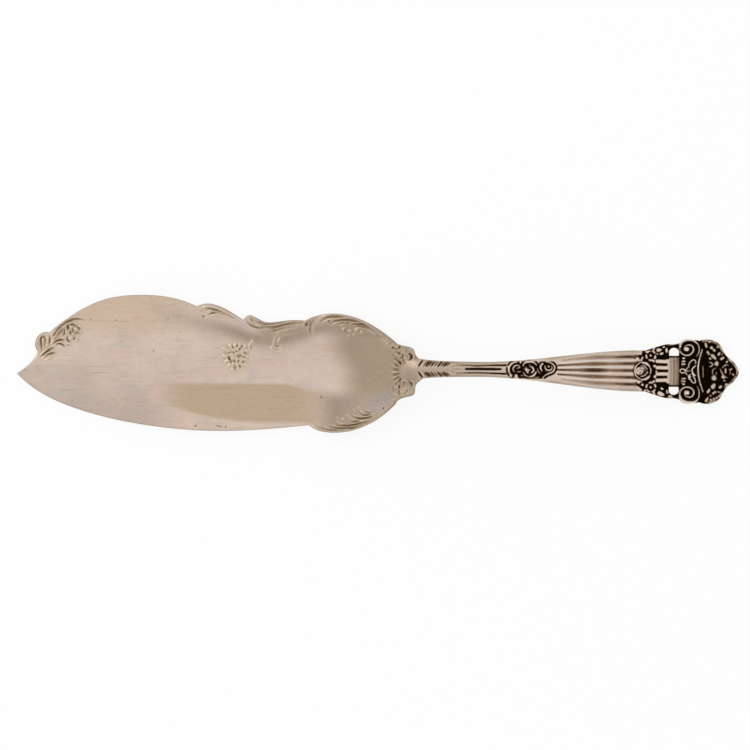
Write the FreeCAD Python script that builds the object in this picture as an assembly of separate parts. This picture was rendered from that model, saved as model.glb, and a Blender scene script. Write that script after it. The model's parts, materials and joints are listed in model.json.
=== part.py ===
"""A struck silver jelly knife, made as one piece of metal.

The blade is a broad, thin, gently dished leaf with a turned-up back edge, a
hooked tip and a shell-shaped heel.  A slim stem rises from the heel, arches
over and widens into a fluted column that ends in a scrolled capital under a
bunch of flowers.  Everything is one solid, as it leaves the die.

Frame: +X runs from the blade to the handle's end, +Y towards the back of the
blade, +Z up.  The origin is on the flat of the belly, under the handle's axis.
"""
import FreeCAD, Part
import math
import os

Vector = FreeCAD.Vector
UP = Vector(0, 0, 1)

# Driving dimensions of the blade, in millimetres.
blade_length = 116.2        # tip to heel
heel_x = 52.6               # where the blade ends and the stem begins
back_breadth = 20.8         # handle axis to the highest point of the back
edge_breadth = 18.8         # handle axis to the lowest point of the edge
blade_thickness = 1.3
heel_thickness = 2.0
belly_rub = 0.06            # how deep the belly is rubbed flat
back_lip = 3.2              # rise of the turned-up back
back_lip_width = 9.0
back_fold_y = 8.4           # where the back starts to turn up, near the heel
back_fold_climb = 6.0       # how much further out that fold lies near the tip
edge_lip = 1.5              # rise of the cutting edge
edge_lip_width = 14.0
edge_fold_y = 4.2
bowl_start_x = 14.0         # the heel's bowl, where both sides rise more
bowl_depth = 1.3

# Driving dimensions of the handle, in millimetres.
arch_height = 10.5          # underside of the stem at the top of its arch
arch_start_x = 22.0         # where the heel starts to climb
arch_top_x = 77.0
stem_half_width = 2.16
stem_thickness = 3.1
stem_length = 25.9          # heel to the scroll knot
heel_flare = 0.95           # extra half width where the stem leaves the heel
knot_length = 13.9
column_length = 33.1        # knot to the end of the flutes
column_half_width = 5.95
column_thickness = 2.9
garland_length = 7.8        # part of the column that the garland covers
neck_length = 3.6           # end of the flutes to the capital
neck_half_width = 4.5
capital_length = 6.2
crown_length = 11.3         # the bunch of flowers
crown_half_width = 9.25
end_thickness = 2.1

# Flutes, reeds, chevrons and piercings, in millimetres.
flute_pitch = 1.98
flute_pitch_start = 1.3
flute_spread = 15.0         # how soon the flutes reach their full pitch
flute_radius = 0.62         # half a channel's width; it is 0.6 of this deep
reed_pitch = 0.98
chevron_pitch = 1.35
chevron_pairs = 6
cut_radius = 0.3            # reeds and chevrons
opening_length = 2.9        # the two piercings beside the neck
opening_width = 2.3

# Driving dimensions of the carving, in millimetres.
volute_radius = 3.05
volute_offset = 6.35        # handle axis to a volute's eye
volute_setback = 2.35       # start of the capital to that eye
volute_height = 0.5
ridge_radius = 0.42         # scrolls
petal_height = 0.45
rose_radius = 2.5
daisy_radius = 1.75

# Stations along the handle, worked out from the lengths above.
tip_x = heel_x - blade_length
knot_x = heel_x + stem_length
column_x = knot_x + knot_length
neck_x = column_x + column_length
capital_x = neck_x + neck_length
crown_x = capital_x + capital_length
end_x = crown_x + crown_length
eye_x = capital_x + volute_setback
garland_x = neck_x - garland_length
shaft_start_x = heel_x - 6.5
shaft_end_x = crown_x - 0.8

# The shaft's section is four arcs that meet at its shoulders.
shoulder = 0.82             # share of the half width where an arc ends
shoulder_height = 0.71      # share of the half thickness there
shaft_overlap = 0.15        # how far the shaft's underside stands below the plates


def smooth(t):
    """Rises from 0 at t = 0 to 1 at t = 1, level at both ends."""
    t = min(1.0, max(0.0, t))
    return t * t * (3 - 2 * t)


def mix(a, b, share):
    return a + (b - a) * share


def spread(a, b, count):
    """Evenly spaced numbers from a to b."""
    return [mix(a, b, i / (count - 1)) for i in range(count)]


# The form of the metal: heights of its underside and its top.

def underside(x):
    """Height of the underside on the handle's axis."""
    climb = smooth((x - arch_start_x) / (arch_top_x - arch_start_x))
    fall = max(0.0, (x - arch_top_x) / (end_x - arch_top_x))
    return arch_height * (climb - fall ** 2) - belly_rub


def blade_under(x, y):
    """Underside of the blade: flat belly, raised sides and the heel's bowl."""
    fold = back_fold_y + back_fold_climb * smooth(-x / 30)
    back = max(0.0, (y - fold) / back_lip_width)
    edge = max(0.0, (-y - edge_fold_y) / edge_lip_width)
    fade = smooth((x - tip_x - 12) / 35)
    bowl = bowl_depth * smooth((x - bowl_start_x) / 15)
    rise = (back_lip * fade + bowl) * back ** 2 + (edge_lip * fade + bowl) * edge ** 2
    return underside(x) + rise


def blade_top(x, y):
    thicken = smooth((x - heel_x + 25) / 20)
    return blade_under(x, y) + mix(blade_thickness, heel_thickness, thicken)


def half_width(x):
    """Half the width of the stem and the column, seen from above."""
    stem = stem_half_width + heel_flare * math.exp((heel_x - x) / 5)
    widen = smooth((x - knot_x + 7.3) / (garland_x - knot_x + 7.3))
    shaft = mix(stem, column_half_width, widen)
    return mix(shaft, neck_half_width, smooth((x - garland_x) / garland_length))


def shaft_under(x):
    """Underside of the shaft, which starts and ends inside the plates."""
    start = smooth((x - shaft_start_x) / 7)
    end = smooth((x - neck_x) / neck_length)
    return underside(x) + mix(0.4, -shaft_overlap, start) + (shaft_overlap + 0.3) * end


def shaft_thickness(x):
    stem = mix(1.2, stem_thickness, smooth((x - shaft_start_x) / 7))
    column = mix(stem, column_thickness, smooth((x - knot_x) / knot_length))
    return column - 0.3 * smooth((x - neck_x) / neck_length)


def shaft_top(x, y):
    """Top of the stem and the column, whose section is a soft oval."""
    share = min(1.0, abs(y) / half_width(x))
    height = 1 - (1 - shoulder_height) * (share / shoulder) ** 2
    if share > shoulder:
        height = shoulder_height * math.sqrt(1 - ((share - shoulder) / (1 - shoulder)) ** 2)
    return shaft_under(x) + shaft_thickness(x) * (1 + height) / 2


def plate_top(x, y):
    """Top of the plate under the garland's wings, the capital and the crown."""
    return underside(x) + end_thickness


def volute_top(x, y):
    return plate_top(x, y) + volute_height


# Helpers that turn a form into metal.

def smooth_edge(points):
    """One smooth edge through points of the plan."""
    curve = Part.BSplineCurve()
    curve.interpolate([Vector(x, y, 0) for x, y in points])
    return curve.toShape()


def skin(height, xs, ys):
    """A smooth surface through the heights above a grid."""
    surface = Part.BSplineSurface()
    surface.interpolate([[Vector(x, y, height(x, y)) for y in ys] for x in xs])
    return surface


def slab(under, top, xs, ys):
    """A sheet of metal between two heights above a grid."""
    lower = skin(under, xs, ys)
    upper = skin(top, xs, ys)
    u0, u1, v0, v1 = lower.bounds()
    faces = [lower.toShape(), upper.toShape()]
    for u in (u0, u1):
        faces.append(Part.makeRuledSurface(lower.uIso(u).toShape(), upper.uIso(u).toShape()))
    for v in (v0, v1):
        faces.append(Part.makeRuledSurface(lower.vIso(v).toShape(), upper.vIso(v).toShape()))
    shell = Part.makeShell(faces)
    shell.sewShape()
    solid = Part.makeSolid(shell)
    if solid.Volume < 0:
        solid.reverse()
    return solid


def prism(edges):
    """A plan outline, extruded upright through the whole knife."""
    wire = Part.Wire(Part.__sortEdges__(edges))
    wire.translate(Vector(0, 0, -5))
    return Part.Face(wire).extrude(Vector(0, 0, 40))


def layer(low, high, x0, x1):
    """Metal between two heights that depend on x alone."""
    xs = spread(x0, x1, 9)
    lower = Part.BSplineCurve()
    lower.interpolate([Vector(x, -15, low(x)) for x in xs])
    upper = Part.BSplineCurve()
    upper.interpolate([Vector(x, -15, high(x)) for x in xs])
    ends = [Part.makeLine(Vector(x, -15, low(x)), Vector(x, -15, high(x))) for x in (x0, x1)]
    wire = Part.Wire(Part.__sortEdges__([lower.toShape(), ends[1], upper.toShape(), ends[0]]))
    return Part.Face(wire).extrude(Vector(0, 30, 0))


def seat(shapes, surface, x, y, turn=0.0, lift=0.0):
    """Lays shapes that were made at the origin onto a surface of the knife."""
    step = 0.1
    slope_x = (surface(x + step, y) - surface(x - step, y)) / (2 * step)
    slope_y = (surface(x, y + step) - surface(x, y - step)) / (2 * step)
    tilt = FreeCAD.Rotation(UP, Vector(-slope_x, -slope_y, 1))
    spin = FreeCAD.Rotation(UP, turn)
    move = FreeCAD.Placement(Vector(x, y, surface(x, y) + lift), tilt.multiply(spin))
    placed = []
    for shape in shapes:
        copy = shape.copy()
        copy.Placement = move.multiply(shape.Placement)
        placed.append(copy)
    return placed


def faceted(rings):
    """A solid with flat faces, carried through closed rings of points."""
    loops = [rings[0], rings[-1]]
    for low, high in zip(rings, rings[1:]):
        for i in range(len(low)):
            a, b, c, d = low[i - 1], low[i], high[i], high[i - 1]
            twist = abs((b - a).cross(d - a).dot(c - a))
            if twist < 1e-9:
                loops.append([a, b, c, d])
            else:
                loops.append([a, b, c])
                loops.append([a, c, d])
    faces = [Part.Face(Part.makePolygon(loop + loop[:1])) for loop in loops]
    shell = Part.makeShell(faces)
    shell.sewShape()
    solid = Part.makeSolid(shell)
    if solid.Volume < 0:
        solid.reverse()
    return [solid]


def petal(length, width, height=petal_height):
    """A pointed oval with a raised middle, sunk a little into its seat."""
    outline = [(-0.5, 0.0), (-0.2, 0.5), (0.2, 0.5), (0.5, 0.0), (0.2, -0.5), (-0.2, -0.5)]

    def ring(share, z):
        return [Vector(px * length * share, py * width * share, z) for px, py in outline]

    return faceted([ring(1.2, -0.35), ring(0.45, height)])


def knob(radius):
    """A small round bud."""
    def ring(share, z):
        angles = [math.radians(60 * i) for i in range(6)]
        return [Vector(math.cos(a), math.sin(a), z / radius / share) * (radius * share) for a in angles]

    return faceted([ring(1.1, -0.4), ring(1.0, radius * 0.3), ring(0.5, radius * 0.8)])


def flower(radius, petals, centre):
    """Petals around a bud."""
    shapes = knob(centre)
    for i in range(petals):
        for leaf in petal(radius * 0.75, radius * 0.72):
            leaf.Placement = FreeCAD.Placement(Vector(radius * 0.6, 0, 0), FreeCAD.Rotation())
            leaf.rotate(Vector(), UP, 360 * i / petals)
            shapes.append(leaf)
    return shapes


RIDGE = [(-1.0, -0.8), (0.0, 0.85), (1.0, -0.8)]
GROOVE = [(-1.0, 0.55), (0.0, -1.0), (1.0, 0.55)]
FLUTE = [(-1.1, 0.5), (-0.75, -0.45), (0.0, -0.65), (0.75, -0.45), (1.1, 0.5)]


def trace(surface, points, sizes, profile=RIDGE, lift=0.0, steps=3):
    """Carries a small section over a surface, along points of the plan."""
    curve = Part.BSplineCurve()
    curve.interpolate([Vector(x, y, 0) for x, y in points])
    rings = []
    for share in spread(0.0, 1.0, steps * (len(points) - 1) + 1):
        at = mix(curve.FirstParameter, curve.LastParameter, share)
        place = curve.value(at)
        place.z = surface(place.x, place.y) + lift
        side = UP.cross(Vector(curve.tangent(at)[0])).normalize()
        slot = share * (len(sizes) - 1)
        low = min(int(slot), len(sizes) - 2)
        size = mix(sizes[low], sizes[low + 1], slot - low)
        rings.append([place + side * (s * size) + UP * (h * size) for s, h in profile])
    return faceted(rings)


def on_blade(points):
    """Turns shares of the blade, in percent, into millimetres."""
    places = []
    for u, v in points:
        breadth = back_breadth if v > 0 else edge_breadth
        places.append((tip_x + u * blade_length / 100, v * breadth / 100))
    return places


def on_blade_trace(points, *sizes):
    radii = [ridge_radius * size for size in sizes]
    return trace(blade_top, on_blade(points), radii, steps=2)


# The blade, from its hooked tip to the lobes of its heel.

BLADE_OUTLINE = [
    [(0.0, -12.7), (2.5, -1.4), (4.8, 14.2), (5.2, 19.4)],
    [(5.2, 19.4), (4.5, 31.2), (5.5, 42.8), (8.0, 46.1)],
    [(8.0, 46.1), (12.9, 67.7), (21.8, 93.1), (30.8, 99.9), (39.8, 95.0), (45.0, 84.6)],
    [(45.0, 84.6), (47.6, 88.5), (51.8, 82.4), (56.7, 66.3)],
    [(56.7, 66.3), (58.0, 72.7), (61.4, 65.2), (66.4, 65.1), (72.1, 65.9)],
    [(72.1, 65.9), (75.8, 74.0), (79.6, 76.1), (83.4, 73.1), (87.9, 63.5), (95.1, 35.8)],
    [(95.1, 35.8), (97.7, 31.1), (99.4, 26.6), (99.8, 20.1), (100.9, 13.8), (102.5, 9.1)],
    [(102.5, 9.1), (102.5, -10.1)],
    [(102.5, -10.1), (100.7, -20.2), (100.0, -25.0), (99.6, -38.8), (97.8, -43.5), (95.0, -54.4)],
    [(95.0, -54.4), (89.6, -81.9), (82.6, -98.4), (79.4, -99.9), (76.4, -97.9), (73.3, -88.7)],
    [(73.3, -88.7), (62.6, -95.5), (52.1, -98.9), (31.1, -89.7), (14.6, -65.7), (4.0, -34.3), (0.0, -12.7)],
]


def blade():
    xs = spread(tip_x - 2, heel_x + 5, 22)
    ys = spread(-edge_breadth - 2, back_breadth + 1, 15)
    sheet = slab(blade_under, blade_top, xs, ys)
    outline = [smooth_edge(on_blade(points)) for points in BLADE_OUTLINE]
    return sheet.common(prism(outline))


def tip_ornament():
    """A curl, a long scroll, three leaf strokes and a few blossoms."""
    shapes = on_blade_trace(
        [(8.4, 21.6), (7.0, 22.0), (5.9, 28.4), (5.9, 37.0), (6.8, 41.0), (7.6, 37.0)], 0.5, 1.1, 0.6)
    shapes += on_blade_trace(
        [(8.4, 24.6), (10.4, 37.6), (12.9, 52.0), (15.8, 63.9), (17.1, 63.5)], 1.0, 1.2, 0.6)
    shapes += on_blade_trace([(5.9, 13.0), (8.4, 21.0), (11.9, 33.2)], 0.5, 1.1, 0.5)
    shapes += on_blade_trace([(6.0, 9.5), (9.0, 15.4), (11.7, 24.0)], 0.5, 1.0, 0.4)
    shapes += on_blade_trace([(6.2, 6.7), (8.4, 10.1), (10.2, 15.9)], 0.5, 0.8, 0.3)
    blossoms = [(11.7, 39.9, 120), (13.1, 48.1, 60), (14.6, 54.8, 20), (15.2, 45.2, 160), (13.8, 37.5, 100)]
    for u, v, turn in blossoms:
        (x, y), = on_blade([(u, v)])
        shapes += seat(petal(1.9, 1.2), blade_top, x, y, turn)
    return shapes


def back_scrolls():
    """The two scrolls that break the back's outline and the lines under them."""
    shapes = on_blade_trace(
        [(45.8, 81.7), (47.7, 84.4), (50.9, 79.0), (53.9, 71.0), (56.0, 63.5)], 0.6, 1.1, 0.8)
    shapes += on_blade_trace(
        [(49.3, 70.1), (47.6, 70.7), (46.9, 75.4), (48.1, 78.0), (50.4, 74.0)], 0.5, 0.8, 0.5)
    shapes += on_blade_trace(
        [(58.3, 68.0), (57.5, 65.0), (58.6, 60.5), (63.0, 60.5), (71.6, 62.5)], 0.7, 1.1, 0.9)
    shapes += on_blade_trace([(57.0, 59.6), (58.9, 53.0), (63.0, 53.4), (71.0, 56.0)], 0.6, 0.9, 0.5)
    return shapes


def heel_scrolls():
    """Scrolls and leaf strokes along both edges of the heel."""
    rim = [(73.6, 49.0), (72.9, 58.6), (75.7, 69.4), (79.6, 71.6), (83.4, 68.2), (91.9, 42.3)]
    shapes = on_blade_trace(rim, 0.6, 1.2, 1.2, 0.6)
    shapes += on_blade_trace([(75.3, 52.9), (76.7, 62.4), (80.0, 65.0), (84.5, 60.5)], 0.4, 1.0, 0.4)
    shapes += on_blade_trace([(78.9, 50.4), (80.2, 57.6), (83.1, 58.2), (85.4, 53.3)], 0.4, 0.9, 0.4)
    shapes += on_blade_trace([(84.1, 45.2), (86.1, 52.3), (88.6, 47.0)], 0.4, 0.9, 0.4)
    shapes += on_blade_trace([(81.6, 43.2), (82.9, 49.0), (83.6, 45.2)], 0.3, 0.6, 0.3)
    shapes += on_blade_trace(
        [(74.3, -84.6), (77.4, -93.1), (81.2, -94.0), (85.4, -87.0), (92.1, -60.0)], 0.7, 1.2, 1.1, 0.6)
    shapes += on_blade_trace([(76.1, -76.7), (77.9, -86.0), (80.9, -86.5)], 0.4, 1.0, 0.4)
    shapes += on_blade_trace([(78.8, -70.3), (80.6, -79.5), (83.9, -79.6)], 0.4, 0.9, 0.4)
    shapes += on_blade_trace([(81.9, -64.0), (83.5, -72.6), (86.8, -71.3)], 0.4, 0.9, 0.4)
    shapes += on_blade_trace([(85.1, -57.0), (86.6, -64.0), (89.7, -60.7)], 0.4, 0.8, 0.4)
    return shapes


def flower_spray():
    """A small blossom with leaves, a ribbon and a hooked leaf, mid blade."""
    (x, y), = on_blade([(55.1, 18.3)])
    shapes = seat(flower(2.0, 5, 0.55), blade_top, x, y, 20)
    leaves = [
        (-3.0, 1.6, 150),
        (-2.9, -1.4, 205),
        (-1.4, -3.3, 250),
        (1.4, -3.4, 300),
        (3.2, -2.1, 330),
        (0.6, 3.2, 80),
        (-1.6, 2.9, 125),
    ]
    for dx, dy, turn in leaves:
        shapes += seat(petal(2.2, 1.1, 0.35), blade_top, x + dx, y + dy, turn)
    shapes += on_blade_trace([(56.6, 22.5), (57.9, 25.0), (59.4, 33.7)], 0.7, 0.9, 0.4)
    shapes += on_blade_trace([(65.2, 22.1), (64.2, 26.9), (64.7, 36.5), (67.1, 46.2)], 0.4, 0.9, 0.4)
    return shapes


def worn_scroll():
    """A shallow scroll near the cutting edge, rubbed by use."""
    points = [(45.4, -85.4), (46.9, -84.6), (48.2, -88.6), (50.4, -89.5), (53.4, -85.2)]
    return on_blade_trace(points, 0.4, 0.6, 0.3)


def shell():
    """Petals that fan out from the end of the stem over the heel."""
    shapes = []
    centre_y = -0.03 * back_breadth
    for i in range(7):
        angle = 105 + 25 * i
        reach = 2.9 if i % 2 else 2.6
        x = heel_x - 4.1 + reach * math.cos(math.radians(angle)) * 0.9
        y = centre_y + reach * math.sin(math.radians(angle)) * 1.45
        shapes += seat(petal(2.7, 1.5), blade_top, x, y, angle)
    for side in (1, -1):
        points = [(heel_x - 3.2, 5.3), (heel_x - 1.6, 4.9), (heel_x - 1.2, 3.3), (heel_x - 2.2, 2.7)]
        points = [(x, centre_y + side * y) for x, y in points]
        shapes += trace(blade_top, points, [0.3, 0.5, 0.35])
        shapes += seat(knob(0.5), blade_top, heel_x - 4.9, centre_y + side * 7.3)
    return shapes


# The shaft: stem, knot and column.

def shaft():
    """Lofted from oval sections, with a flat stretch from each to the next."""
    shares = [0, 0.04, 0.08, 0.125, 0.2, 0.3, 0.4, 0.51, 0.63, 0.75, 0.8, 0.85, 0.9, 0.94, 1]
    sections = []
    for share in shares:
        x = mix(shaft_start_x, shaft_end_x, share)
        width = half_width(x)
        depth = shaft_thickness(x) / 2
        middle = shaft_under(x) + depth

        def spot(across, up):
            return Vector(x, across * width, middle + up * depth)

        corners = [(-1, 1), (1, 1), (1, -1), (-1, -1)]
        bulges = [(0, 1), (1, 0), (0, -1), (-1, 0)]
        arcs = []
        for i, bulge in enumerate(bulges):
            (a, b), (c, d) = corners[i], corners[(i + 1) % 4]
            start = spot(a * shoulder, b * shoulder_height)
            end = spot(c * shoulder, d * shoulder_height)
            arcs.append(Part.Arc(start, spot(*bulge), end).toShape())
        sections.append(Part.Wire(arcs))
    return Part.makeLoft(sections, True, True)


def chevrons():
    """Slanting cuts on both sides of the stem's first stretch."""
    cuts = []
    for i in range(chevron_pairs):
        x = heel_x + 1.6 + i * chevron_pitch
        for side in (1, -1):
            reach = 0.8 * half_width(x)
            points = [(x, side * 0.3), (x + 0.5 * reach, side * reach)]
            cuts += trace(shaft_top, points, [cut_radius * 0.6, cut_radius * 1.2], GROOVE, steps=1)
    return cuts


def reeds():
    """Three grooves along the middle of the stem."""
    start = heel_x + 0.55 * stem_length
    end = knot_x - 0.8
    cuts = []
    for i in (-1, 0, 1):
        points = [(x, i * reed_pitch) for x in spread(start, end, 4)]
        cuts += trace(shaft_top, points, [0.05, cut_radius, cut_radius, 0.05], GROOVE, steps=1)
    return cuts


def flutes():
    """Five round-bottomed channels that widen with the column."""
    cuts = []
    start = column_x + 0.7
    end = neck_x + 0.2
    for i in (-2, -1, 0, 1, 2):
        points = []
        for x in spread(start, end, 7):
            pitch = mix(flute_pitch_start, flute_pitch, smooth((x - start) / flute_spread))
            squeeze = mix(1.0, neck_half_width / column_half_width, smooth((x - garland_x) / garland_length))
            points.append((x, i * pitch * squeeze))
        sizes = [0.1] + [flute_radius * s for s in (0.75, 0.9, 1.0, 1.0, 0.9, 0.8)] + [0.1]
        cuts += trace(shaft_top, points, sizes, FLUTE, steps=1)
    return cuts


def strokes(surface, start, rows, side=1, lift=0.0):
    """Ridges whose points are measured from a station; each row has its radius first."""
    shapes = []
    for radius, points in rows:
        places = [(start + x, side * y) for x, y in points]
        shapes += trace(surface, places, [0.7 * radius, radius, 0.7 * radius], RIDGE, lift, steps=2)
    return shapes


def knot():
    """A rose between two small scrolls."""
    first_scroll = [
        (0.38, [(1.7, -1.7), (0.9, -0.6), (1.1, 1.1), (3.0, 2.0)]),
        (0.30, [(3.9, 1.0), (2.3, 0.9), (2.4, -0.6)]),
    ]
    petals = [
        (0.38, [(4.9, 0.9), (5.9, 2.1), (7.7, 2.1), (8.7, 1.2)]),
        (0.30, [(4.8, -0.5), (5.4, -1.5), (6.3, -1.9)]),
        (0.38, [(6.7, -2.0), (7.9, -1.5), (8.7, -0.5)]),
        (0.34, [(6.9, 0.9), (7.9, 0.2), (7.2, -0.8)]),
    ]
    second_scroll = [
        (0.34, [(10.3, 1.7), (9.9, 0.7), (10.4, -0.3)]),
        (0.28, [(11.3, 1.3), (11.7, 0.1), (13.0, 0.2), (13.0, 1.2)]),
        (0.34, [(11.7, 2.3), (13.9, 1.2), (13.2, -0.6), (10.7, -2.2)]),
    ]
    shapes = strokes(shaft_top, knot_x, first_scroll + petals + second_scroll)
    shapes += seat(knob(0.6), shaft_top, knot_x + 5.8, 0.0)
    return shapes


# The end: wings beside the neck, capital and crown.

def end_plate():
    """The plate that carries the wings, the capital and the crown."""
    wing = [
        (garland_x - 2.0, column_half_width * 0.8),
        (garland_x + 1.2, column_half_width),
        (neck_x - 3.2, column_half_width + 1.1),
        (neck_x + 0.4, column_half_width + 1.92),
        (neck_x + 2.2, column_half_width + 1.95),
        (capital_x + 1.0, volute_offset + 2.2),
        (crown_x - 0.5, crown_half_width - 0.35),
    ]
    nose = [
        (crown_x - 0.5, crown_half_width - 0.35),
        (crown_x + 0.25 * crown_length, crown_half_width),
        (crown_x + 0.48 * crown_length, crown_half_width * 0.865),
        (crown_x + 0.65 * crown_length, crown_half_width * 0.53),
        (crown_x + 0.84 * crown_length, crown_half_width * 0.33),
    ]
    tip = [(end_x, 0.0)]
    mirrored = [(x, -y) for x, y in reversed(nose)]
    first = wing[0]
    edges = [
        smooth_edge(wing),
        smooth_edge(nose + tip + mirrored),
        smooth_edge([(x, -y) for x, y in reversed(wing)]),
        smooth_edge([(first[0], -first[1]), first]),
    ]
    body = layer(underside, lambda x: plate_top(x, 0), garland_x - 3, end_x + 1)
    return body.common(prism(edges))


def openings():
    """Two piercings beside the neck, flat inside and round outside."""
    cuts = []
    x0 = neck_x + 0.4
    for side in (1, -1):
        inner = neck_half_width - 1.0
        outer = neck_half_width + opening_width
        spring = mix(neck_half_width, outer, 0.45)
        places = [(x0, spring), (x0 + opening_length / 2, outer), (x0 + opening_length, spring)]
        a, b, c = [Vector(x, side * y, -5) for x, y in places]
        d = Vector(x0, side * inner, -5)
        e = Vector(x0 + opening_length, side * inner, -5)
        edges = [Part.Arc(a, b, c).toShape(), Part.makeLine(c, e), Part.makeLine(e, d), Part.makeLine(d, a)]
        cuts.append(Part.Face(Part.Wire(edges)).extrude(Vector(0, 0, 40)))
    return cuts


def volutes():
    """Two scrolls seen from the front, each with an eye."""
    body = layer(lambda x: underside(x) + 0.05, lambda x: volute_top(x, 0), capital_x - 3, crown_x + 2)
    discs = []
    carving = []
    winding = [0.84, 0.85, 0.85, 0.83, 0.72, 0.62, 0.62, 0.62, 0.5, 0.4, 0.32]
    for side in (1, -1):
        disc = Part.makeCylinder(volute_radius, 40, Vector(eye_x, side * volute_offset, -5))
        discs.append(disc.common(body))
        points = []
        for i, share in enumerate(winding):
            angle = math.radians(35 + 45 * i)
            reach = share * volute_radius
            points.append((eye_x + reach * math.cos(angle), side * (volute_offset + reach * math.sin(angle))))
        carving += trace(volute_top, points, [0.4, 0.38, 0.24, 0.22, 0.2], RIDGE, 0.05, steps=2)
        carving += seat(knob(0.62), volute_top, eye_x, side * volute_offset)
    return discs, carving


def capital():
    """A row of eggs, a palmette, a ribbon bow and the curve of the abacus."""
    shapes = []
    for i in (-3.7, -2.9, -2.1, 2.1, 2.9, 3.8):
        shapes += seat(petal(1.1, 0.7), shaft_top, capital_x + 1.2, i)
    palmette = [(0.2, [(0.2, 0.2), (0.8, 0.7), (1.4, 0.5), (2.1, 1.1)])]
    bow = [
        (0.24, [(2.5, 1.2), (2.7, 2.3), (4.0, 3.3), (4.5, 2.4)]),
        (0.24, [(4.5, 1.8), (3.7, 0.8), (3.5, 0.2)]),
    ]
    for side in (1, -1):
        shapes += strokes(shaft_top, capital_x, palmette + bow, side)
    curve = [(crown_x + s, y) for s, y in ((0.4, -6.0), (-0.55, -3.0), (-0.8, 0.0), (-0.55, 3.0), (0.4, 6.0))]
    shapes += trace(plate_top, curve, [0.4, 0.5, 0.4], RIDGE, 0.25)
    return shapes


def garland():
    """A rose, two daisies, buds and the leaves that reach onto the wings."""
    rose = [
        (0.30, [(0.5, rose_radius), (-0.9, 2.0), (-1.85, 0.4), (-1.5, -1.4), (0.3, -rose_radius)]),
        (0.42, [(0.6, 2.4), (1.6, 2.2), (2.4, 1.5)]),
        (0.42, [(0.8, -2.4), (1.8, -2.1), (2.5, -1.2)]),
        (0.28, [(0.1, 1.6), (1.2, 0.9), (1.3, -0.4), (0.6, -1.3)]),
    ]
    shapes = strokes(shaft_top, garland_x, rose)
    shapes += seat(knob(0.95), shaft_top, garland_x - 0.25, 0.0)
    for side in (1, -1):
        shapes += seat(flower(daisy_radius, 5, 0.45), shaft_top, garland_x + 2.85, side * 4.6, 0, 0.2)
        shapes += seat(knob(0.6), shaft_top, garland_x - 1.0, side * 3.4)
        shapes += seat(knob(0.5), shaft_top, garland_x + 3.9, side * 1.6)
        shapes += seat(petal(2.0, 1.2), plate_top, garland_x + 5.5, side * 6.3, side * 10)
        shapes += seat(petal(1.7, 0.9), plate_top, garland_x + 7.5, side * 6.0, side * 95)
        shapes += seat(petal(1.3, 0.7), plate_top, garland_x + 6.3, side * 5.1, side * 20)
    return shapes


# Each row: place along the crown and across it as shares, length, width, turn.
BUNCH = [
    (0.14, 0.85, 2.6, 1.6, 100),
    (0.32, 0.74, 2.4, 1.6, 60),
    (0.20, 0.57, 2.2, 1.5, 150),
    (0.36, 0.46, 2.4, 1.6, 20),
    (0.49, 0.57, 2.4, 1.6, 50),
    (0.58, 0.42, 2.2, 1.5, 20),
    (0.42, 0.26, 2.3, 1.5, 60),
    (0.28, 0.22, 2.0, 1.3, 130),
    (0.67, 0.19, 2.2, 1.4, 30),
    (0.68, 0.03, 2.4, 1.4, 0),
    (0.62, -0.09, 2.0, 1.3, -40),
    (0.35, 0.03, 2.2, 1.4, 0),
    (0.50, -0.28, 2.3, 1.5, -30),
    (0.21, -0.60, 2.4, 1.5, -150),
    (0.52, -0.48, 2.4, 1.6, -50),
    (0.68, -0.38, 2.0, 1.4, -30),
    (0.38, -0.68, 2.4, 1.6, -70),
    (0.45, -0.82, 2.2, 1.4, -100),
    (0.19, -0.82, 2.4, 1.5, -110),
]


def crown():
    """The bunch of flowers at the handle's end."""
    shapes = []
    for u, v, length, width, turn in BUNCH:
        x = crown_x + u * crown_length
        y = v * crown_half_width
        shapes += seat(petal(length, width, 0.55), plate_top, x, y, turn)
    for u, v in ((0.36, -0.21), (0.34, -0.45), (0.80, 0.0)):
        shapes += seat(knob(0.75), plate_top, crown_x + u * crown_length, v * crown_half_width)
    return shapes


def zone(shape, x0, x1):
    """The stretch of a shape between two stations, so that each carves quickly."""
    box = Part.makeBox(x1 - x0, 100, 100, Vector(x0, -50, -50))
    return shape.common(box)


def front_end():
    """The blade with its ornament, rubbed flat under the belly."""
    ground = Part.makeBox(400, 100, 20, Vector(-200, -50, -20))
    plain = blade().cut(ground)
    first = tip_x + 0.30 * blade_length
    second = tip_x + 0.722 * blade_length
    tip = zone(plain, tip_x - 5, first).multiFuse(tip_ornament())
    middle = zone(plain, first, second).multiFuse(back_scrolls() + flower_spray() + worn_scroll())
    heel = zone(plain, second, heel_x + 10).multiFuse(heel_scrolls() + shell())
    return [tip, middle, heel]


def back_end():
    """The stem, the knot, the column and the carved end."""
    ground = Part.makeBox(400, 100, 20, Vector(-200, -50, -20))
    plain = shaft()
    stem = zone(plain, shaft_start_x - 5, knot_x - 0.6).cut(chevrons() + reeds())
    rose = zone(plain, knot_x - 0.6, column_x + 0.3).multiFuse(knot())
    discs, scrolls = volutes()
    plate = end_plate().cut(openings() + [ground]).multiFuse(discs + crown())
    column = zone(plain, column_x + 0.3, shaft_end_x + 5).cut(flutes())
    column = column.multiFuse([plate] + garland() + capital() + scrolls)
    return [stem, rose, column]


def knife():
    zones = front_end() + back_end()
    return zones[0].multiFuse(zones[1:])


def main():
    os.makedirs("parts", exist_ok=True)
    whole = knife()
    solids = whole.Solids
    print("solids", len(solids), "volume", round(whole.Volume, 1), "valid", whole.isValid())
    solids[0].exportStep("parts/jelly_knife.step")


main()
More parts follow.
